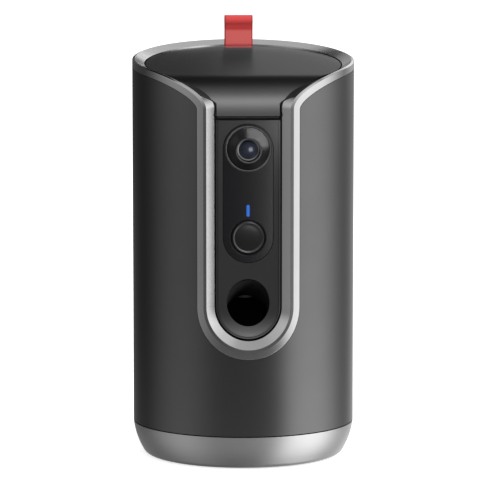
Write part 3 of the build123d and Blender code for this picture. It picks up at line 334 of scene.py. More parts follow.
def between(a, b, share):
    """Pair that lies a share of the way from one pair to another."""
    return (a[0] + (b[0] - a[0]) * share, a[1] + (b[1] - a[1]) * share)


def bevel_line(s):
    """Section points where the facet ends and where the bevel ends: the rim's, easing into the U's."""
    point, inward, outward = crest_frame(max(s, 2))
    if s > 3:
        a = (s - 3) * math.pi / 2
        x, z = TRIM_IN_HALF * math.cos(a), U_CENTRE_Z - TRIM_IN_HALF * math.sin(a)
    else:
        x, z = TRIM_IN_HALF, point.z
    edge = Vector((x, cove_y(z), z)) - point
    end_u = (edge.dot(inward), edge.dot(outward))
    t = min(max(s - 1, 0), 1)
    ease = t * t * (3 - 2 * t)
    return between(FACET_RIM, FACET_U, ease), between(BEVEL_END_RIM, end_u, ease)


def metal_share(s):
    """Share of the bevel that belongs to the metal trim."""
    fade_in = min(max((s - 1.0) / 0.25, 0), 1)
    fade_out = min(max((crest_point(s).z - LINING_FOOT_Z) / LINING_FADE, 0), 1) if s > 1.5 else 1
    return 1 - (1 - LINING_SHARE) * fade_in * fade_out


def along_bevel(s, share):
    """Point on the bevel's section line."""
    return between(*bevel_line(s), share)


def shift(point, by):
    """Section point moved by a pair."""
    return (point[0] + by[0], point[1] + by[1])


def rear_shift(s):
    """From the bevel's end to the rear corner behind it."""
    return between(REAR_RIM, REAR_U, min(max(s - 1, 0), 1) ** 3)


def band_edge(s, reach):
    """Section point on the body's surface, reach away from the crest."""
    _, inward, _ = crest_frame(s)
    level = math.hypot(inward.x, inward.y)
    return (-reach, math.sqrt(BODY_R ** 2 - (reach * level) ** 2) - BODY_R)


def trim_section(s):
    """Rounded closed section of the metal trim."""
    facet, _ = bevel_line(s)
    end = along_bevel(s, metal_share(s))
    outer = band_edge(s, BAND_W)
    middle = band_edge(s, BAND_W / 2)
    lap = band_edge(s, BAND_W + BAND_LAP)
    behind = -SHELL_WALL - 0.05
    corners = [
        outer,
        middle,
        (0, 0),
        facet,
        end,
        shift(end, rear_shift(s)),
        (lap[0], lap[1] + behind - 2.0),
        (lap[0], lap[1] + behind),
        (outer[0], outer[1] + behind),
    ]
    return rounded(corners, [0.22, 0, 0.34, 0.30, 0.28, 0, 0, 0, 0])


def cheek_section(s):
    """Rounded closed section of the black liner along the flare."""
    share = metal_share(s)
    start = along_bevel(s, share + 0.08)
    end = along_bevel(s, 1.0)
    hook = shift(along_bevel(s, share), rear_shift(s))
    corners = [
        start,
        end,
        shift(end, rear_shift(s)),
        shift(hook, (-1.8, -1.15)),
        shift(hook, (-1.0, -0.6)),
        shift(start, rear_shift(s)),
    ]
    return rounded(corners, [0.35, 0.35, 0, 0, 0, 0])


def spaced(first, last, count):
    """Evenly spaced values, both ends included."""
    return [first + (last - first) * i / count for i in range(count + 1)]


def swept(name, stations, section, mirrored_loop):
    """Mesh through the sections; either one closed loop over both sides, or one capped piece per side."""
    rings = []
    for s in stations:
        point, inward, outward = crest_frame(s)
        rings.append([tuple(point + inward * q + outward * n) for q, n in section(s)])
    flipped = [[(-x, y, z) for x, y, z in ring] for ring in rings]
    size = len(rings[0])
    strips = [rings + flipped[-2:0:-1]] if mirrored_loop else [rings, flipped]
    verts, faces = [], []
    for strip in strips:
        first = len(verts)
        for ring in strip:
            verts.extend(ring)
        faces.extend(quads(len(strip), size, first, mirrored_loop))
        if not mirrored_loop:
            faces.append(tuple(range(first, first + size)))
            faces.append(tuple(reversed(range(len(verts) - size, len(verts)))))
    return mesh_piece(name, verts, faces, 38)


# ------------------------------------------------------------------ materials
def fill(tree, node, inputs):
    """Gives inputs of a node their values; a value that is a socket gets linked."""
    for key, value in inputs.items():
        if isinstance(value, bpy.types.NodeSocket):
            tree.links.new(value, node.inputs[key])
        else:
            node.inputs[key].default_value = value


def add_node(tree, kind, inputs=(), **settings):
    """New shader node with its settings and inputs."""
    node = tree.nodes.new("ShaderNode" + kind)
    for key, value in settings.items():
        setattr(node, key, value)
    fill(tree, node, dict(inputs))
    return node


def new_material(name):
    """Empty node material, its tree and its shader."""
    material = bpy.data.materials.new(name)
    material.use_nodes = True
    tree = material.node_tree
    return material, tree, tree.nodes["Principled BSDF"]


def own_space(tree):
    """Place in the object's own space, in metres."""
    return add_node(tree, "TexCoord").outputs["Object"]


def noise(tree, scale, detail, rough=0.5):
    """Noise in the object's own space, scale in waves to the metre."""
    inputs = {"Vector": own_space(tree), "Scale": scale, "Detail": detail, "Roughness": rough}
    return add_node(tree, "TexNoise", inputs).outputs["Fac"]


def ranged(tree, value, low, high, start=0.0, end=1.0):
    """Value mapped from start-end to low-high."""
    inputs = {"Value": value, "From Min": start, "From Max": end, "To Min": low, "To Max": high}
    return add_node(tree, "MapRange", inputs).outputs["Result"]


def banded(tree, axis, start, end, absolute=False):
    """Value rising from 0 to 1 between two distances, in metres, along an axis of the object."""
    value = add_node(tree, "SeparateXYZ", {"Vector": own_space(tree)}).outputs[axis]
    if absolute:
        value = add_node(tree, "Math", {0: value}, operation="ABSOLUTE").outputs[0]
    return ranged(tree, value, 0, 1, start, end)


def tinted(tree, value, first, second, start=0.3, end=0.7):
    """Colour that goes from first to second while a value rises from start to end."""
    ramp = add_node(tree, "ValToRGB", {"Fac": value})
    for element, colour, position in zip(ramp.color_ramp.elements, (first, second), (start, end)):
        element.color = (*colour, 1)
        element.position = position
    return ramp.outputs["Color"]


def mixed_colour(tree, share, first, second):
    """Colour socket between two colour sockets, or a socket and a plain colour."""
    return add_node(tree, "Mix", {"Factor": share, 6: first, 7: second}, data_type="RGBA").outputs[2]


def bumped(tree, shader, value, distance):
    """Bump from a value, distance in metres."""
    bump = add_node(tree, "Bump", {"Strength": 1.0, "Distance": distance, "Height": value})
    fill(tree, shader, {"Normal": bump.outputs["Normal"]})


def plastic(name, colour, roughness, spread=0.03, grain=2600, depth=0.000012, specular=0.5):
    """Moulded plastic: faint colour drift, fine texture, slightly uneven gloss."""
    material, tree, shader = new_material(name)
    dark = tuple(max(0.0, c * (1 - spread * 2)) for c in colour)
    light = tuple(min(1.0, c * (1 + spread * 2)) for c in colour)
    fine = noise(tree, grain, 2)
    fill(tree, shader, {
        "Base Color": tinted(tree, noise(tree, 35, 4), dark, light),
        "Roughness": ranged(tree, fine, roughness - spread, roughness + spread),
        "Specular IOR Level": specular,
    })
    bumped(tree, shader, fine, depth)
    return material


def metal(name, colour, roughness, grain=1500, depth=0.000006):
    """Bead-blasted metal, or a metallic paint."""
    material, tree, shader = new_material(name)
    dark = tuple(c * 0.96 for c in colour)
    fine = noise(tree, grain, 3, 0.6)
    fill(tree, shader, {
        "Metallic": 1.0,
        "Base Color": tinted(tree, noise(tree, 60, 4), dark, colour),
        "Roughness": ranged(tree, fine, roughness - 0.04, roughness + 0.04),
    })
    bumped(tree, shader, fine, depth)
    return material


def glow_material():
    """Blue light pipe, brighter in its middle."""
    material, tree, shader = new_material("status_blue")
    away = banded(tree, "X", 0, 0.0010, True)
    fill(tree, shader, {
        "Emission Color": tinted(tree, away, (0.020, 0.09, 0.38), (0.001, 0.015, 0.10), 0, 1),
        "Emission Strength": 1.0,
        "Base Color": (0.02, 0.08, 0.3, 1),
        "Roughness": 0.25,
    })
    return material


def glass_material():
    """Coated front element: dark, with a bluish coating, and painted shade that darkens it towards its rim.
    """
    material, tree, shader = new_material("lens_coated")
    facing = add_node(tree, "LayerWeight", {"Blend": 0.45}).outputs["Facing"]
    fill(tree, shader, {
        # painted shade: the colour darkens where the glass turns away from the view, towards its rim
        "Base Color": tinted(tree, facing, (0.020, 0.022, 0.031), (0.015, 0.018, 0.025), 0, 1),
        "Roughness": 0.30,
        "Specular IOR Level": 0.7,
        "Coat Weight": 0.6,
        "Coat Roughness": 0.03,
        "Coat Tint": (0.75, 0.82, 1.0, 1),
    })
    return material


def woven_material():
    """Red webbing: fine twill, with painted shade: a deeper, darker red on its roll and a darker red towards
    both edges.
    """
    material, tree, shader = new_material("tab_red_weave")
    warp = add_node(tree, "TexWave", {"Scale": 560, "Distortion": 0.6, "Vector": own_space(tree)},
                    bands_direction="DIAGONAL")
    fluff = ranged(tree, noise(tree, 1800, 3), 0.0, 0.4)
    twill = {0: warp.outputs["Fac"], 1: 0.6, 2: fluff}
    weave = add_node(tree, "Math", twill, operation="MULTIPLY_ADD").outputs[0]
    leaf = tinted(tree, weave, (0.62, 0.090, 0.084), (0.76, 0.150, 0.140))
    # painted shade: the roll gets a deeper, darker copy of the leaves' red
    roll = tinted(tree, weave, (0.58, 0.034, 0.034), (0.68, 0.060, 0.058))
    colour = mixed_colour(tree, banded(tree, "Z", 0.2378, 0.2390), leaf, roll)
    # painted shade: both edges of the ribbon are painted a darker red
    painted_edge_shade = banded(tree, "X", 0.0073, 0.0077, True)
    fill(tree, shader, {
        "Base Color": mixed_colour(tree, painted_edge_shade, colour, (0.38, 0.022, 0.022, 1)),
        "Roughness": 0.62,
        "Sheen Weight": 0.25,
    })
    bumped(tree, shader, weave, 0.00005)
    return material


skin_mat = metal("skin_satin_graphite", (0.155, 0.155, 0.157), 0.31, grain=2600)
lid_mat = metal("lid_satin_graphite", (0.150, 0.150, 0.152), 0.36, grain=2600)
panel_mat = metal("panel_satin_graphite", (0.150, 0.150, 0.152), 0.36, grain=2600)
liner_mat = plastic("liner_black", (0.014, 0.014, 0.015), 0.42, specular=0.45)
window_mat = plastic("window_gloss_black", (0.005, 0.005, 0.006), 0.22, spread=0.01, depth=0.000001,
                     specular=0.36)
cone_mat = plastic("cone_gloss_black", (0.008, 0.008, 0.009), 0.30, spread=0.01, depth=0.000001,
                   specular=0.6)
button_mat = metal("button_satin", (0.078, 0.078, 0.080), 0.30, grain=2600)
inner_mat = plastic("inner_black", (0.010, 0.010, 0.011), 0.65, specular=0.3)
white_mat = plastic("gear_white", (0.70, 0.70, 0.66), 0.42)
rubber_mat = plastic("foot_rubber", (0.018, 0.018, 0.018), 0.75, spread=0.05, grain=1200, depth=0.00004)
board_mat = plastic("board_green", (0.015, 0.10, 0.035), 0.35)
flex_mat = plastic("flex_amber", (0.40, 0.17, 0.02), 0.3)
trim_mat = metal("trim_satin_metal", (0.58, 0.58, 0.585), 0.19, depth=0.000003)
base_mat = metal("base_satin_metal", (0.56, 0.56, 0.565), 0.36)
ring_mat = metal("bezel_metal", (0.27, 0.27, 0.275), 0.24)
steel_mat = metal("steel", (0.55, 0.55, 0.56), 0.28)
glow_mat = glow_material()
lens_mat = glass_material()
tab_mat = woven_material()

# ------------------------------------------------------------------ trim, liners and shell
loop_stations = (
    spaced(0, 0.985, 66) + spaced(1.0, 1.99, 66) + spaced(2.0, 2.05, 6) + spaced(2.1, 2.98, 12)
    + spaced(3.0, 4.0, 48)
)
trim_piece = swept("trim_skin", loop_stations, trim_section, True)
place(trim_piece, "turret", trim_mat, "trim_metal", "trim_ring")
firm(trim_piece)

cheek_piece = swept("cheek_skin", spaced(1.2, 2.0, 52) + [2.015], cheek_section, False)
place(cheek_piece, "turret", liner_mat, "panel_black", "visor_cheeks")
firm(cheek_piece)


def skin_point(s):
    """Angle round the body and height of the shell's edge beside the trim."""
    point, inward, outward = crest_frame(s)
    q, n = band_edge(s, BAND_W + SKIN_GAP)
    edge = point + inward * q + outward * n
    return math.atan2(edge.x, -edge.y), edge.z


def shell_mesh():
    """Tube with the slanted top edge and the U-shaped cut."""
    low = BASE_H + SEAM_GAP
    upper = [skin_point(s) for s in spaced(0, 0.985, 60) + spaced(1.0, 2.0, 60)]
    foot = [skin_point(s) for s in spaced(3.0, 4.0, 40)][1:]
    side_angle, side_top = upper[-1]
    rows_low, rows_high = 26, 30
    verts, faces = [], []

    def grid(columns, rows, radius):
        """Wall through columns of angle, lower and upper height."""
        faces.extend(quads(len(columns), rows + 1, len(verts), row_closes=False))
        for angle, lo, hi in columns:
            for r in range(rows + 1):
                verts.append((radius * math.sin(angle), -radius * math.cos(angle), lo + (hi - lo) * r / rows))

    for radius in (BODY_R, BODY_R - SHELL_WALL):
        grid([(a, low, U_CENTRE_Z) for a, _ in upper], rows_low, radius)
        grid([(a, U_CENTRE_Z, top) for a, top in upper], rows_high, radius)
        grid([(side_angle, low, U_CENTRE_Z)] + [(a, low, top) for a, top in foot], rows_low, radius)

    def ribbon(points):
        """Edge between the two walls."""
        faces.extend(quads(len(points), 2, len(verts), row_closes=False))
        for a, z in points:
            for radius in (BODY_R, BODY_R - SHELL_WALL):
                verts.append((radius * math.sin(a), -radius * math.cos(a), z))

    rise = side_top - U_CENTRE_Z
    side = [(side_angle, U_CENTRE_Z + rise * r / rows_high) for r in reversed(range(rows_high))]
    ribbon(upper + side + foot)
    ribbon([(a, low) for a, _ in upper + foot])
    count = len(verts)
    verts.extend([(-x, y, z) for x, y, z in verts])
    faces.extend([tuple(count + i for i in reversed(face)) for face in faces])
    return mesh_piece("shell_skin", verts, faces, 40)


def drill_speaker_holes(piece):
    """Cuts the hexagonal field of sound holes through the back of the shell."""
    verts, faces = [], []
    middle = (SOUND_ROWS - 1) / 2
    for column in range(SOUND_ROWS):
        for row in range(SOUND_ROWS):
            x = (column - middle) * SOUND_PITCH * math.sqrt(3) / 2
            z = SOUND_Z + (row - middle + (0.5 if column % 2 else 0) - 0.25) * SOUND_PITCH
            first = len(verts)
            for y in (BODY_R - 6, BODY_R + 2):
                for i in range(SOUND_SIDES):
                    a = 2 * math.pi * (i + 0.5) / SOUND_SIDES
                    verts.append((x + SOUND_R * math.cos(a), y, z + SOUND_R * math.sin(a)))
            faces.extend(quads(2, SOUND_SIDES, first))
            faces.append(tuple(reversed(range(first, first + SOUND_SIDES))))
            faces.append(tuple(range(first + SOUND_SIDES, first + 2 * SOUND_SIDES)))
    cutter = mesh_piece("sound_hole_cutter", verts, faces)
    drill = piece.modifiers.new("sound_holes", "BOOLEAN")
    drill.object = cutter
    drill.operation = "DIFFERENCE"
    drill.solver = "EXACT"
    drilled = evaluated_mesh(piece)
    piece.modifiers.clear()
    piece.data = drilled
    bpy.data.objects.remove(cutter)


shell_piece = shell_mesh()
drill_speaker_holes(shell_piece)
bevel = shell_piece.modifiers.new("eased_edges", "BEVEL")
bevel.width = 0.22 * MM
bevel.segments = 2
bevel.limit_method = "ANGLE"
bevel.angle_limit = math.radians(50)
bevel.harden_normals = True
place(shell_piece, "turret", skin_mat, "shell_dark", "body_shell")

# ------------------------------------------------------------------ CAD nodes that keep their shape
looks = (
    (base_mat, ("base_shell",)),
    (inner_mat, ("base_plate", "slip_ring", "turntable", "slip_ring_rotor", "slip_ring_bracket",
                 "board_standoffs", "front_frame", "button_switch", "outlet_tube", "launcher_chamber",
                 "launcher_paddle", "deck_posts", "speaker", "lid_liner")),
    (rubber_mat, ("foot_ring", "lid_seal")),
    (steel_mat, ("base_screws", "bearing_lower_race", "bearing_balls", "power_socket", "hub_washer",
                 "hub_screws", "bearing_upper_race", "pan_motor", "motor_screws", "launcher_shaft",
                 "launcher_motor", "dispenser_motor")),
    (white_mat, ("ring_gear", "pan_pinion", "launcher_gear", "launcher_pinion", "dispenser_wheel")),
    (board_mat, ("power_board", "main_board", "camera_board", "button_board")),
    (flex_mat, ("camera_flex",)),
    (panel_mat, ("drop_chute", "dispenser_deck", "wheel_cover", "hopper")),
    (lid_mat, ("lid_cover",)),
    (tab_mat, ("tab_anchor",)),
)
for material, names in looks:
    for name in names:
        dress(nodes[name], material)

# ------------------------------------------------------------------ front panel with its groove and cove
# the border's section from the inside outwards: distance and recess
BORDER = (
    (0.0, 0.0), (1.3, 0.0), (1.34, 0.06), (1.38, 0.55), (1.62, 0.55), (1.66, 0.10), (1.72, 0.03), (2.2, 0.05),
    (2.40, 0.16), (2.48, 0.40), (PANEL_EDGE, 1.2), (PANEL_EDGE, PANEL_T),
)
# heights where the face is cut, so that it can follow the cove
COVE_LEVELS = [OUTLET_Z - 18.6 + 1.2 * k for k in range(26)]


def merged(values, cuts, apart):
    """The cuts together with those values that are not close to one of them, in order."""
    return sorted(list(cuts) + [v for v in values if all(abs(v - c) > apart for c in cuts)])


def border_mesh():
    """Panel's border from nested U outlines, each at its own recess; also returns the innermost one."""
    half_in = PANEL_HALF - PANEL_EDGE
    below = [U_CENTRE_Z - z for z in COVE_LEVELS if 0 < U_CENTRE_Z - z < half_in - 0.05]
    above = [z for z in COVE_LEVELS if z > U_CENTRE_Z + 0.05]
    quarter = merged(spaced(0, math.pi / 2, 24)[1:], [math.asin(d / half_in) for d in below], 0.01)
    angles = quarter + [math.pi - a for a in reversed(quarter[:-1])]
    side = merged(spaced(U_CENTRE_Z, PANEL_TOP, 20), above, 0.3)
    rings = []
    for reach, recess in BORDER:
        half = half_in + reach
        ring = [(half, z) for z in reversed(side)]
        ring += [(half * math.cos(a), U_CENTRE_Z - half * math.sin(a)) for a in angles]
        ring += [(-half, z) for z in side]
        rings.append((ring, recess))
    verts = [(x, cove_y(z) + recess, z) for ring, recess in rings for x, z in ring]
    inner = rings[0][0]
    size = len(inner)
    faces = quads(len(rings), size, row_closes=False)
    right = list(range(0, len(verts), size))
    faces.append(tuple(right + [i + size - 1 for i in reversed(right)]))
    return verts, faces, inner


def panel_skin():
    """Front face with holes, joined to the grooved border."""
    verts, faces, inner = border_mesh()
    tall = 1 / math.cos(OUTLET_RISE)
    window = stadium_points(WINDOW_HALF + WINDOW_GAP, BUTTON_Z, LENS_Z)
    mouth = circle(MOUTH_R, CIRCLE_COUNT, (0, MOUTH_Z), tall)
    bm = bmesh.new()
    bm.from_mesh(curve_mesh("panel_outline", [inner, window, mouth], "FRONT"))
    for z in COVE_LEVELS:
        geometry = bm.verts[:] + bm.edges[:] + bm.faces[:]
        bmesh.ops.bisect_plane(bm, geom=geometry, dist=1e-6, plane_co=(0, z * MM, 0), plane_no=(0, 1, 0))
    order = {vert: len(verts) + i for i, vert in enumerate(bm.verts)}
    for vert in bm.verts:
        x, z = vert.co.x / MM, vert.co.y / MM
        verts.append((x, cove_y(z), z))
    faces.extend(tuple(order[v] for v in face.verts) for face in bm.faces)
    # walls of the two holes
    for edge in [edge for edge in bm.edges if len(edge.link_faces) == 1]:
        a, b = edge.verts
        mid = (a.co + b.co) / 2 / MM
        in_window = abs(mid.x) < WINDOW_HALF + 0.5 and BUTTON_Z - 15 < mid.y < LENS_Z + 15
        in_mouth = mid.x ** 2 + ((mid.y - MOUTH_Z) / tall) ** 2 < (MOUTH_R + 0.5) ** 2
        if not (in_window or in_mouth):
            continue
        sink = PANEL_T * math.tan(OUTLET_RISE) if in_mouth else 0
        faces.append((order[a], order[b], len(verts), len(verts) + 1))
        for v in (b, a):
            x, z = v.co.x / MM, v.co.y / MM
            verts.append((x, cove_y(z) + PANEL_T, z - sink))
    bm.free()
    piece = mesh_piece("panel_skin", verts, faces, 32)
    # closes the back
    bm = bmesh.new()
    bm.from_mesh(piece.data)
    edges = [edge for edge in bm.edges if len(edge.link_faces) == 1]
    bmesh.ops.triangle_fill(bm, use_beauty=True, use_dissolve=False, edges=edges, normal=(0, 1, 0))
    bmesh.ops.recalc_face_normals(bm, faces=bm.faces)
    for edge in edges:
        edge.smooth = False
    bm.to_mesh(piece.data)
    bm.free()
    return piece


panel_piece = panel_skin()
place(panel_piece, "turret", panel_mat, "panel_black", "front_panel")
firm(panel_piece)

lip = [(-16.9, 194.72), (16.9, 194.72), (16.9, 195.18), (-16.9, 195.18)]
lip_piece = extruded("visor_lip", [lip], PANEL_Y + 0.15, PANEL_Y + 1.6, 0.08)
place(lip_piece, "turret", panel_mat, "panel_black")


# ------------------------------------------------------------------ window plate with a dish for the button
def window_skin():
    """Stadium plate with the camera's hole, the light's slot and a dish round the button."""
    dish_out, dish_in, dish_depth = 10.1, 9.05, 0.75
    loops = [
        stadium_points(WINDOW_HALF, BUTTON_Z, LENS_Z),
        circle(LENS_HOLE_R, CIRCLE_COUNT, (0, LENS_Z)),
        stadium_points(0.98, LIGHT_Z - 2.32, LIGHT_Z + 2.32, 12),
        circle(dish_out, CIRCLE_COUNT, (0, BUTTON_Z)),
    ]
    plate = extruded("window_skin", loops, WINDOW_Y, WINDOW_Y + WINDOW_T, 0.14)
    lap = dish_out + 0.02
    seat = [(dish_out - 0.1, 0.0), (dish_in, dish_depth), (dish_in, WINDOW_T)]
    profile = rounded([(lap, 0.14)] + seat + [(lap, WINDOW_T)], [0, 0.1, 0.12, 0, 0], False, 3)
    bm = bmesh.new()
    bm.from_mesh(plate.data)
    made = []
    for radius, recess in profile:
        for x, z in circle(radius, CIRCLE_COUNT, (0, BUTTON_Z)):
            made.append(bm.verts.new((x * MM, (WINDOW_Y + recess) * MM, z * MM)))
    for corners in quads(len(profile), CIRCLE_COUNT, rows_close=True):
        bm.faces.new([made[i] for i in corners]).smooth = True
    bmesh.ops.recalc_face_normals(bm, faces=bm.faces)
    bm.to_mesh(plate.data)
    bm.free()
    return plate


window_piece = window_skin()
place(window_piece, "turret", window_mat, "window_gloss", "lens_panel")

# ------------------------------------------------------------------ camera window
lens_dir = Vector((0, -math.cos(LENS_TILT), -math.sin(LENS_TILT)))
front = Vector((0, -1, 0))


def tilted(reach):
    """Point on the optical axis, reach in front of the cone's foot."""
    return Vector((0, WINDOW_Y - LENS_SINK, LENS_Z)) + lens_dir * reach


bezel_profile = rounded([(12.6, 0), (12.6, 2.1), (11.7, 2.1), (11.7, 0)], [0, 0.35, 0.3, 0])
bezel_piece = lathe("bezel_ring", bezel_profile, (0, PANEL_Y + PANEL_T, LENS_Z), front, 128, True)
place(bezel_piece, "turret", ring_mat, "lens_ring", "lens_bezel")
firm(bezel_piece)


def cone_mesh():
    """Frustum from the upright window to the tilted barrel, with a soft top edge and a bore."""
    across, upright = Vector((1, 0, 0)), Vector((0, 0, 1))
    square = lens_dir.cross(across)
    count = 128
    stations = [(Vector((0, PANEL_Y + PANEL_T + 2.4, LENS_Z)), upright, CONE_R), (tilted(0), upright, CONE_R)]
    corners = [(CONE_R, 0.0), (7.4, CONE_RISE), (6.6, CONE_RISE), (CONE_BORE_R, 2.0)]
    for radius, reach in rounded(corners, [0, 0.45, 0.2, 0], False, 5)[1:]:
        share = min(max(reach / CONE_RISE, 0), 1)
        stations.append((tilted(reach), upright.lerp(square, share).normalized(), radius))
    stations.append((tilted(-CONE_DEPTH), square, CONE_BORE_R))
    verts = [tuple(centre + across * u + up * v)
             for centre, up, radius in stations for u, v in circle(radius, count)]
    return mesh_piece("lens_cone_skin", verts, quads(len(stations), count, rows_close=True))


cone_piece = cone_mesh()
place(cone_piece, "turret", cone_mat, "lens_black", "lens_cone")
barrel_corners = [
    (5.3, -13.9), (6.45, -13.9), (6.45, 4.3), (7.05, 4.7), (7.05, 5.5), (6.45, 5.5), (6.1, 4.9), (6.05, 2.0),
    (5.3, 1.7),
]
barrel_profile = rounded(barrel_corners, [0, 0, 0, 0.15, 0.22, 0.2, 0.2, 0, 0])
barrel_piece = lathe("barrel_tube", barrel_profile, tilted(0), lens_dir, 96, True)
place(barrel_piece, "turret", ring_mat, "lens_ring", "lens_barrel")
firm(barrel_piece)


def dome(radius, sag, edge):
    """Profile of a dome from its edge to its tip."""
    r = (radius ** 2 + sag ** 2) / (2 * sag)
    angles = spaced(math.asin(radius / r), 0.0, DOME_STEPS)
    return [(r * math.sin(a), edge + sag - r * (1 - math.cos(a))) for a in angles]


glass_profile = [(0, -0.1), (4.95, -0.1)] + dome(4.95, 2.5, 3.1)
glass_piece = lathe("front_element", glass_profile, tilted(0), lens_dir, 96)
place(glass_piece, "turret", lens_mat, "lens_glass", "lens_glass")
for lens_part in (cone_piece, barrel_piece, bezel_piece, glass_piece):
    lens_part.visible_glossy = False

# ------------------------------------------------------------------ button and status light
button_profile = [
    (0, -0.55), (2.0, -0.56), (4.0, -0.60), (6.0, -0.70), (7.1, -0.82), (7.5, -0.80), (7.8, -0.62),
    (8.0, -0.45), (8.25, -0.36), (8.5, -0.42), (8.7, -0.62), (8.78, -0.9), (8.8, -1.3), (8.8, -2.3),
    (10.3, -2.3), (10.3, -3.35), (2.5, -3.4), (2.5, -5.2), (0, -5.25),
]
button_piece = lathe("button_dish", button_profile, (0, PANEL_Y - 0.36, BUTTON_Z), front, 128)
place(button_piece, "button", button_mat, "button_dark", "button_cap")

light_piece = extruded("status_window", [stadium_points(0.95, LIGHT_Z - 2.3, LIGHT_Z + 2.3, 16)],
                       WINDOW_Y, LIGHT_BACK_Y, 0.12)
place(light_piece, "turret", glow_mat, "status_blue", "status_light")

# ------------------------------------------------------------------ pull tab: one folded ribbon
TAB_FOOT_Z = rim_z(TAB_Y) - LID_SINK + TAB_LIFT
ROLL_Y = TAB_Y - 0.2
ROLL_Z = TAB_FOOT_Z + TAB_TALL - ROLL_R


def tab_outline():
    """Side outline (y, z) of the folded ribbon: two leaves on a round foot, and the roll on top."""
    turns = spaced(0, math.pi / 2, 8)
    foot = [(LEAF_HALF * math.sin(a), TAB_FOOT_Z - LEAF_HALF * math.cos(a)) for a in turns]
    roll = spaced(math.radians(222), math.radians(222 - 264), ROLL_STEPS)
    points = [(TAB_Y - dy, z) for dy, z in foot] + [(TAB_Y - LEAF_HALF, ROLL_Z - 5.0)]
    points += [(ROLL_Y + ROLL_R * math.cos(a), ROLL_Z + ROLL_R * math.sin(a)) for a in roll]
    points += [(TAB_Y + LEAF_HALF, ROLL_Z - 5.0)] + [(TAB_Y + dy, z) for dy, z in reversed(foot[1:])]
    radii = [0] * len(foot) + [1.5] + [0] * len(roll) + [1.5] + [0] * (len(foot) - 1)
    return rounded(points, radii, False, 5)


def tab_mesh():
    """Ribbon as one closed solid with slightly rounded selvedges and an open eye in the roll."""
    outline = tab_outline()
    dense = []
    for a, b in zip(outline, outline[1:]):
        steps = max(1, int(math.dist(a, b) / 0.8))
        for k in range(steps):
            dense.append(between(a, b, k / steps))
    dense.append(outline[-1])
    middle = sum(p[0] for p in dense) / len(dense)
    edge = [(-TAB_HALF, 0.28), (-TAB_HALF + 0.08, 0.12), (-TAB_HALF + 0.28, 0.0)]
    across = edge + [(x, 0.0) for x in spaced(-TAB_HALF + 1.0, TAB_HALF - 1.0, 14)]
    across += [(-x, inset) for x, inset in reversed(edge)]
    roll_centre = Vector((ROLL_Y, ROLL_Z))
    verts = []
    for x, inset in across:
        for y, z in dense:
            if z > ROLL_Z - 2.4:
                spoke = Vector((y, z)) - roll_centre
                p = roll_centre + spoke.normalized() * (spoke.length - inset)
            else:
                p = Vector((y - math.copysign(inset, y - middle), z))
            verts.append((x, p.x, p.y))
    size = len(dense)
    faces = quads(len(across), size)
    faces += [tuple(range(size)), tuple(range(len(verts) - size, len(verts)))]
    return mesh_piece("tab_ribbon", verts, faces, 50)


tab_piece = tab_mesh()
place(tab_piece, "tab", tab_mat, "tab_red", "pull_tab")
tab_piece.visible_glossy = False

# ------------------------------------------------------------------ floor and world
def stage_plane(name, half, material):
    """Large square floor."""
    mesh = bpy.data.meshes.new(name)
    corners = [(-half, -half, 0), (half, -half, 0), (half, half, 0), (-half, half, 0)]
    mesh.from_pydata(corners, [], [(0, 1, 2, 3)])
    mesh.materials.append(material)
    piece = add_object(name, mesh)
    return piece


# the camera sees the floor brighter the farther it lies from the set
floor_mat, tree, shader = new_material("floor_white")
fill(tree, shader, {"Base Color": (0.86, 0.86, 0.86, 1), "Roughness": 0.9, "Specular IOR Level": 0.0})
away = add_node(tree, "VectorMath", {0: own_space(tree)}, operation="LENGTH")
glow = add_node(tree, "Emission", {"Strength": ranged(tree, away.outputs["Value"], 0.62, 1.0, 0.15, 0.60)})
lit = shader.outputs["BSDF"]
added = add_node(tree, "AddShader", {0: lit, 1: glow.outputs["Emission"]}).outputs["Shader"]
seen = add_node(tree, "LightPath").outputs["Is Camera Ray"]
mixed = add_node(tree, "MixShader", {"Fac": seen, 1: lit, 2: added})
fill(tree, tree.nodes["Material Output"], {"Surface": mixed.outputs["Shader"]})
floor = stage_plane("floor", 12.0, floor_mat)
floor.visible_glossy = False

# the world lights the set dimly, and is white where it is seen itself
world = bpy.data.worlds.new("studio")
bpy.context.scene.world = world
world.use_nodes = True
tree = world.node_tree
tree.nodes.clear()
rays = add_node(tree, "LightPath").outputs
seen = rays["Is Camera Ray"]
for ray in ("Is Glossy Ray", "Is Transmission Ray"):
    seen = add_node(tree, "Math", {0: seen, 1: rays[ray]}, operation="MAXIMUM").outputs[0]
dim, white = [
    add_node(tree, "Background", {"Color": (1, 1, 1, 1), "Strength": strength}).outputs["Background"]
    for strength in (0.55, 1.0)
]
chosen = add_node(tree, "MixShader", {"Fac": seen, 1: dim, 2: white})
add_node(tree, "OutputWorld", {"Surface": chosen.outputs["Shader"]})

# ------------------------------------------------------------------ studio of cards, seen in reflections
# brightness by degrees: round the set from the front towards +X, away from the front, or upwards (_UP)
ROUND = (
    (-180, 0.44), (-174, 0.32), (-166, 0.18), (-150, 0.11), (-138, 0.06), (-122, 0.04), (-108, 0.09),
    (-95, 0.22), (-78, 0.33), (-62, 0.34), (-46, 0.27), (-36, 0.17), (-26, 0.10), (-10, 0.09), (10, 0.10),
    (25, 0.13),
    (34, 0.32), (42, 0.95), (50, 1.33), (70, 1.37), (84, 1.28), (96, 0.92), (108, 0.46), (122, 0.24),
    (138, 0.44), (155, 0.80), (168, 0.74), (176, 0.52), (180, 0.44),
)
ROUND_UP = (
    (-90, 0.10), (-70, 0.25), (-54, 0.8), (-38, 1.28), (-24, 1.33), (-12, 1.05), (0, 1), (12, 1), (30, 0.6),
    (50, 0.25), (90, 0.1),
)
BEHIND = ((0, 0), (130, 0), (155, 1), (180, 1))
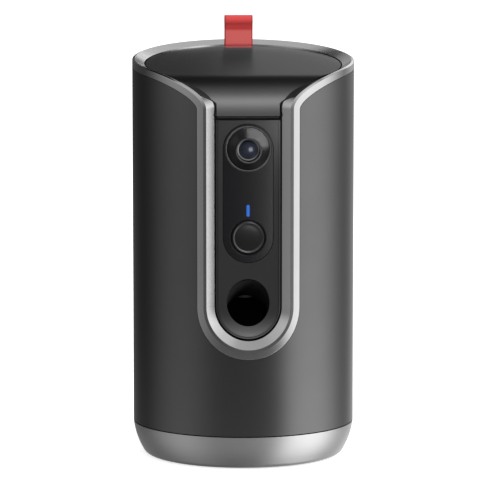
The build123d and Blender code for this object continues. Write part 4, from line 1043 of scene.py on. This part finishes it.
BEHIND_UP = ((-90, 0), (-4, 0), (4, 0.5), (12, 0.7), (22, 0.7), (60, 0.85), (90, 0.85))
LID_CARD = ((-180, 0.03), (-165, 0.08), (-140, 0.02), (0, 0), (120, 0), (145, 0.40), (158, 0.12), (180, 0.03))
LID_CARD_UP = ((-90, 0), (2, 0), (14, 1), (32, 1), (46, 0), (90, 0))
NEAR = ((0, 1), (20, 1), (40, 0), (180, 0))
NEAR_UP = ((-90, 0), (-60, 0.03), (-45, 0.09), (-22, 0.09), (-12, 0), (90, 0))
FRONT = ((0, 1), (70, 1), (105, 0), (180, 0))
FRONT_UP = (
    (-90, 0), (6, 0), (14, 0.22), (24, 0.5), (38, 0.62), (58, 0.62), (70, 0.5), (80, 0.25), (90, 0.2),
)
FLOOR_UP = ((-90, 0.10), (-30, 0.12), (-12, 0), (90, 0))


def along_table(table, value):
    """Linear interpolation in a table of pairs."""
    for (x0, y0), (x1, y1) in zip(table, table[1:]):
        if value <= x1:
            return y0 + (y1 - y0) * max(0.0, value - x0) / (x1 - x0)
    return table[-1][1]


def studio_level(azimuth, elevation):
    """Brightness of the studio in a direction, in degrees."""
    away = abs(azimuth)
    level = along_table(ROUND, azimuth) * along_table(ROUND_UP, elevation)
    level *= 1 - along_table(BEHIND, away) * along_table(BEHIND_UP, elevation)
    level += along_table(LID_CARD, azimuth) * along_table(LID_CARD_UP, elevation)
    level += along_table(NEAR, away) * along_table(NEAR_UP, elevation)
    level += along_table(FRONT, away) * along_table(FRONT_UP, elevation)
    return level + along_table(FLOOR_UP, elevation)


def collection_of(name, pieces):
    """Collection for light linking."""
    group = bpy.data.collections.new(name)
    for piece in pieces:
        group.objects.link(piece)
    return group


def studio_dome():
    """Sphere of cards round the set, seen only in reflections."""
    radius, centre_z = 0.6, 0.12
    columns, rows = 240, 120
    verts, levels = [], []
    for r in range(rows + 1):
        elevation = -89.5 + 179 * r / rows
        flat, z = math.cos(math.radians(elevation)), math.sin(math.radians(elevation))
        for c in range(columns):
            azimuth = -180 + 360 * c / columns
            a = math.radians(azimuth)
            verts.append((radius * flat * math.sin(a), -radius * flat * math.cos(a), centre_z + radius * z))
            levels.append(studio_level(azimuth, elevation))
    mesh = bpy.data.meshes.new("studio_dome")
    mesh.from_pydata(verts, [], quads(rows + 1, columns))
    mesh.attributes.new("level", "FLOAT", "POINT").data.foreach_set("value", levels)
    piece = add_object("studio_dome", mesh)
    material, tree, shader = new_material("dome_glow")
    tree.nodes.remove(shader)
    level = add_node(tree, "Attribute", attribute_name="level").outputs["Fac"]
    glow = add_node(tree, "Emission", {"Strength": level}).outputs["Emission"]
    fill(tree, tree.nodes["Material Output"], {"Surface": glow})
    material.cycles.emission_sampling = "NONE"
    mesh.materials.append(material)
    piece.visible_camera = False
    piece.visible_diffuse = False
    piece.visible_shadow = False
    piece.visible_transmission = False
    left_out = collection_of("studio_dome_lights", (cone_piece, glass_piece))
    for entry in left_out.collection_objects:
        entry.light_linking.link_state = "EXCLUDE"
    piece.light_linking.receiver_collection = left_out


studio_dome()


# ------------------------------------------------------------------ lamps and camera
def area_lamp(name, place_at, look_at, size, power, only=None, blockers=None, direct=False):
    """Soft rectangular lamp: out of every reflection, or lighting only the pieces named, reflections too."""
    data = bpy.data.lights.new(name, "AREA")
    data.shape = "RECTANGLE"
    data.size, data.size_y = size
    data.energy = power
    data.cycles.use_multiple_importance_sampling = not direct
    lamp = add_object(name, data)
    lamp.location = place_at
    lamp.rotation_euler = (Vector(look_at) - Vector(place_at)).to_track_quat("-Z", "Y").to_euler()
    lamp.visible_camera = False
    if only is None:
        lamp.visible_glossy = False
        return
    lamp.light_linking.receiver_collection = collection_of(name + "_lights", only)
    lamp.light_linking.blocker_collection = collection_of(name + "_stops", blockers or only)


lid = nodes["lid_cover"]
area_lamp("lamp_top", (0.10, -0.30, 1.35), (0, 0, 0.15), (0.8, 0.8), 5)
area_lamp("lamp_front", (-0.25, -1.25, 0.75), (0, 0, 0.15), (0.9, 0.7), 6)
area_lamp("lamp_right", (1.05, -0.25, 0.50), (0, 0, 0.12), (0.7, 0.7), 7)
area_lamp("lamp_rim", (0.145, 0.258, 0.499), (0, 0.03, 0.23), (0.38, 0.42), 0.34, [trim_piece])
area_lamp("lamp_visor", (0.018, -0.263, 0.454), (0, -0.058, 0.21), (0.30, 0.15), 0.22, [lid, panel_piece])
area_lamp("lamp_lid", (0.080, 0.266, 0.337), (0, 0.01, 0.225), (0.16, 0.10), 0.015,
          [lid, trim_piece], [tab_piece])
area_lamp("lamp_cove", (0.015, -0.250, 0.305), (0, -0.058, 0.075), (0.20, 0.10), 0.041, [panel_piece])
area_lamp("lamp_window", (0.040, -0.20, 0.152), (0.0, -0.053, 0.152), (0.024, 0.14), 0.055, [window_piece])
area_lamp("lamp_panel", (0.030, -0.115, 0.186), (0.020, -0.053, 0.192), (0.02, 0.02), 0.0022,
          [panel_piece, window_piece])
area_lamp("lamp_lens", (0.175, -0.040, 0.355), (0, -0.055, 0.178), (0.52, 0.52), 1.9, [cone_piece],
          direct=True)
area_lamp("lamp_glass", (0.085, -0.240, 0.165), (0, -0.058, 0.177), (0.14, 0.14), 0.22, [glass_piece])
area_lamp("lamp_button", (0.010, -0.095, 0.150), (0, -0.053, 0.130), (0.012, 0.012), 0.008, [button_piece])
area_lamp("lamp_outlet", (0.090, -0.120, 0.105), (-0.010, -0.045, 0.090), (0.03, 0.03), 0.12,
          [nodes["outlet_tube"]])

# focal length in millimetres, and degrees that the camera looks down and turns to its left
CAMERA_LENS, CAMERA_DOWN, CAMERA_TURN = 204.26, 6.59, -3.087
camera_data = bpy.data.cameras.new("camera")
camera_data.sensor_width = 36
camera_data.lens = CAMERA_LENS
camera_data.clip_end = 50
camera = add_object("camera", camera_data)
camera.location = (-0.0823, -1.5979, 0.3007)
camera.rotation_euler = (math.radians(90 - CAMERA_DOWN), 0, math.radians(CAMERA_TURN))
bpy.context.scene.camera = camera
bpy.context.scene.view_settings.view_transform = "Standard"
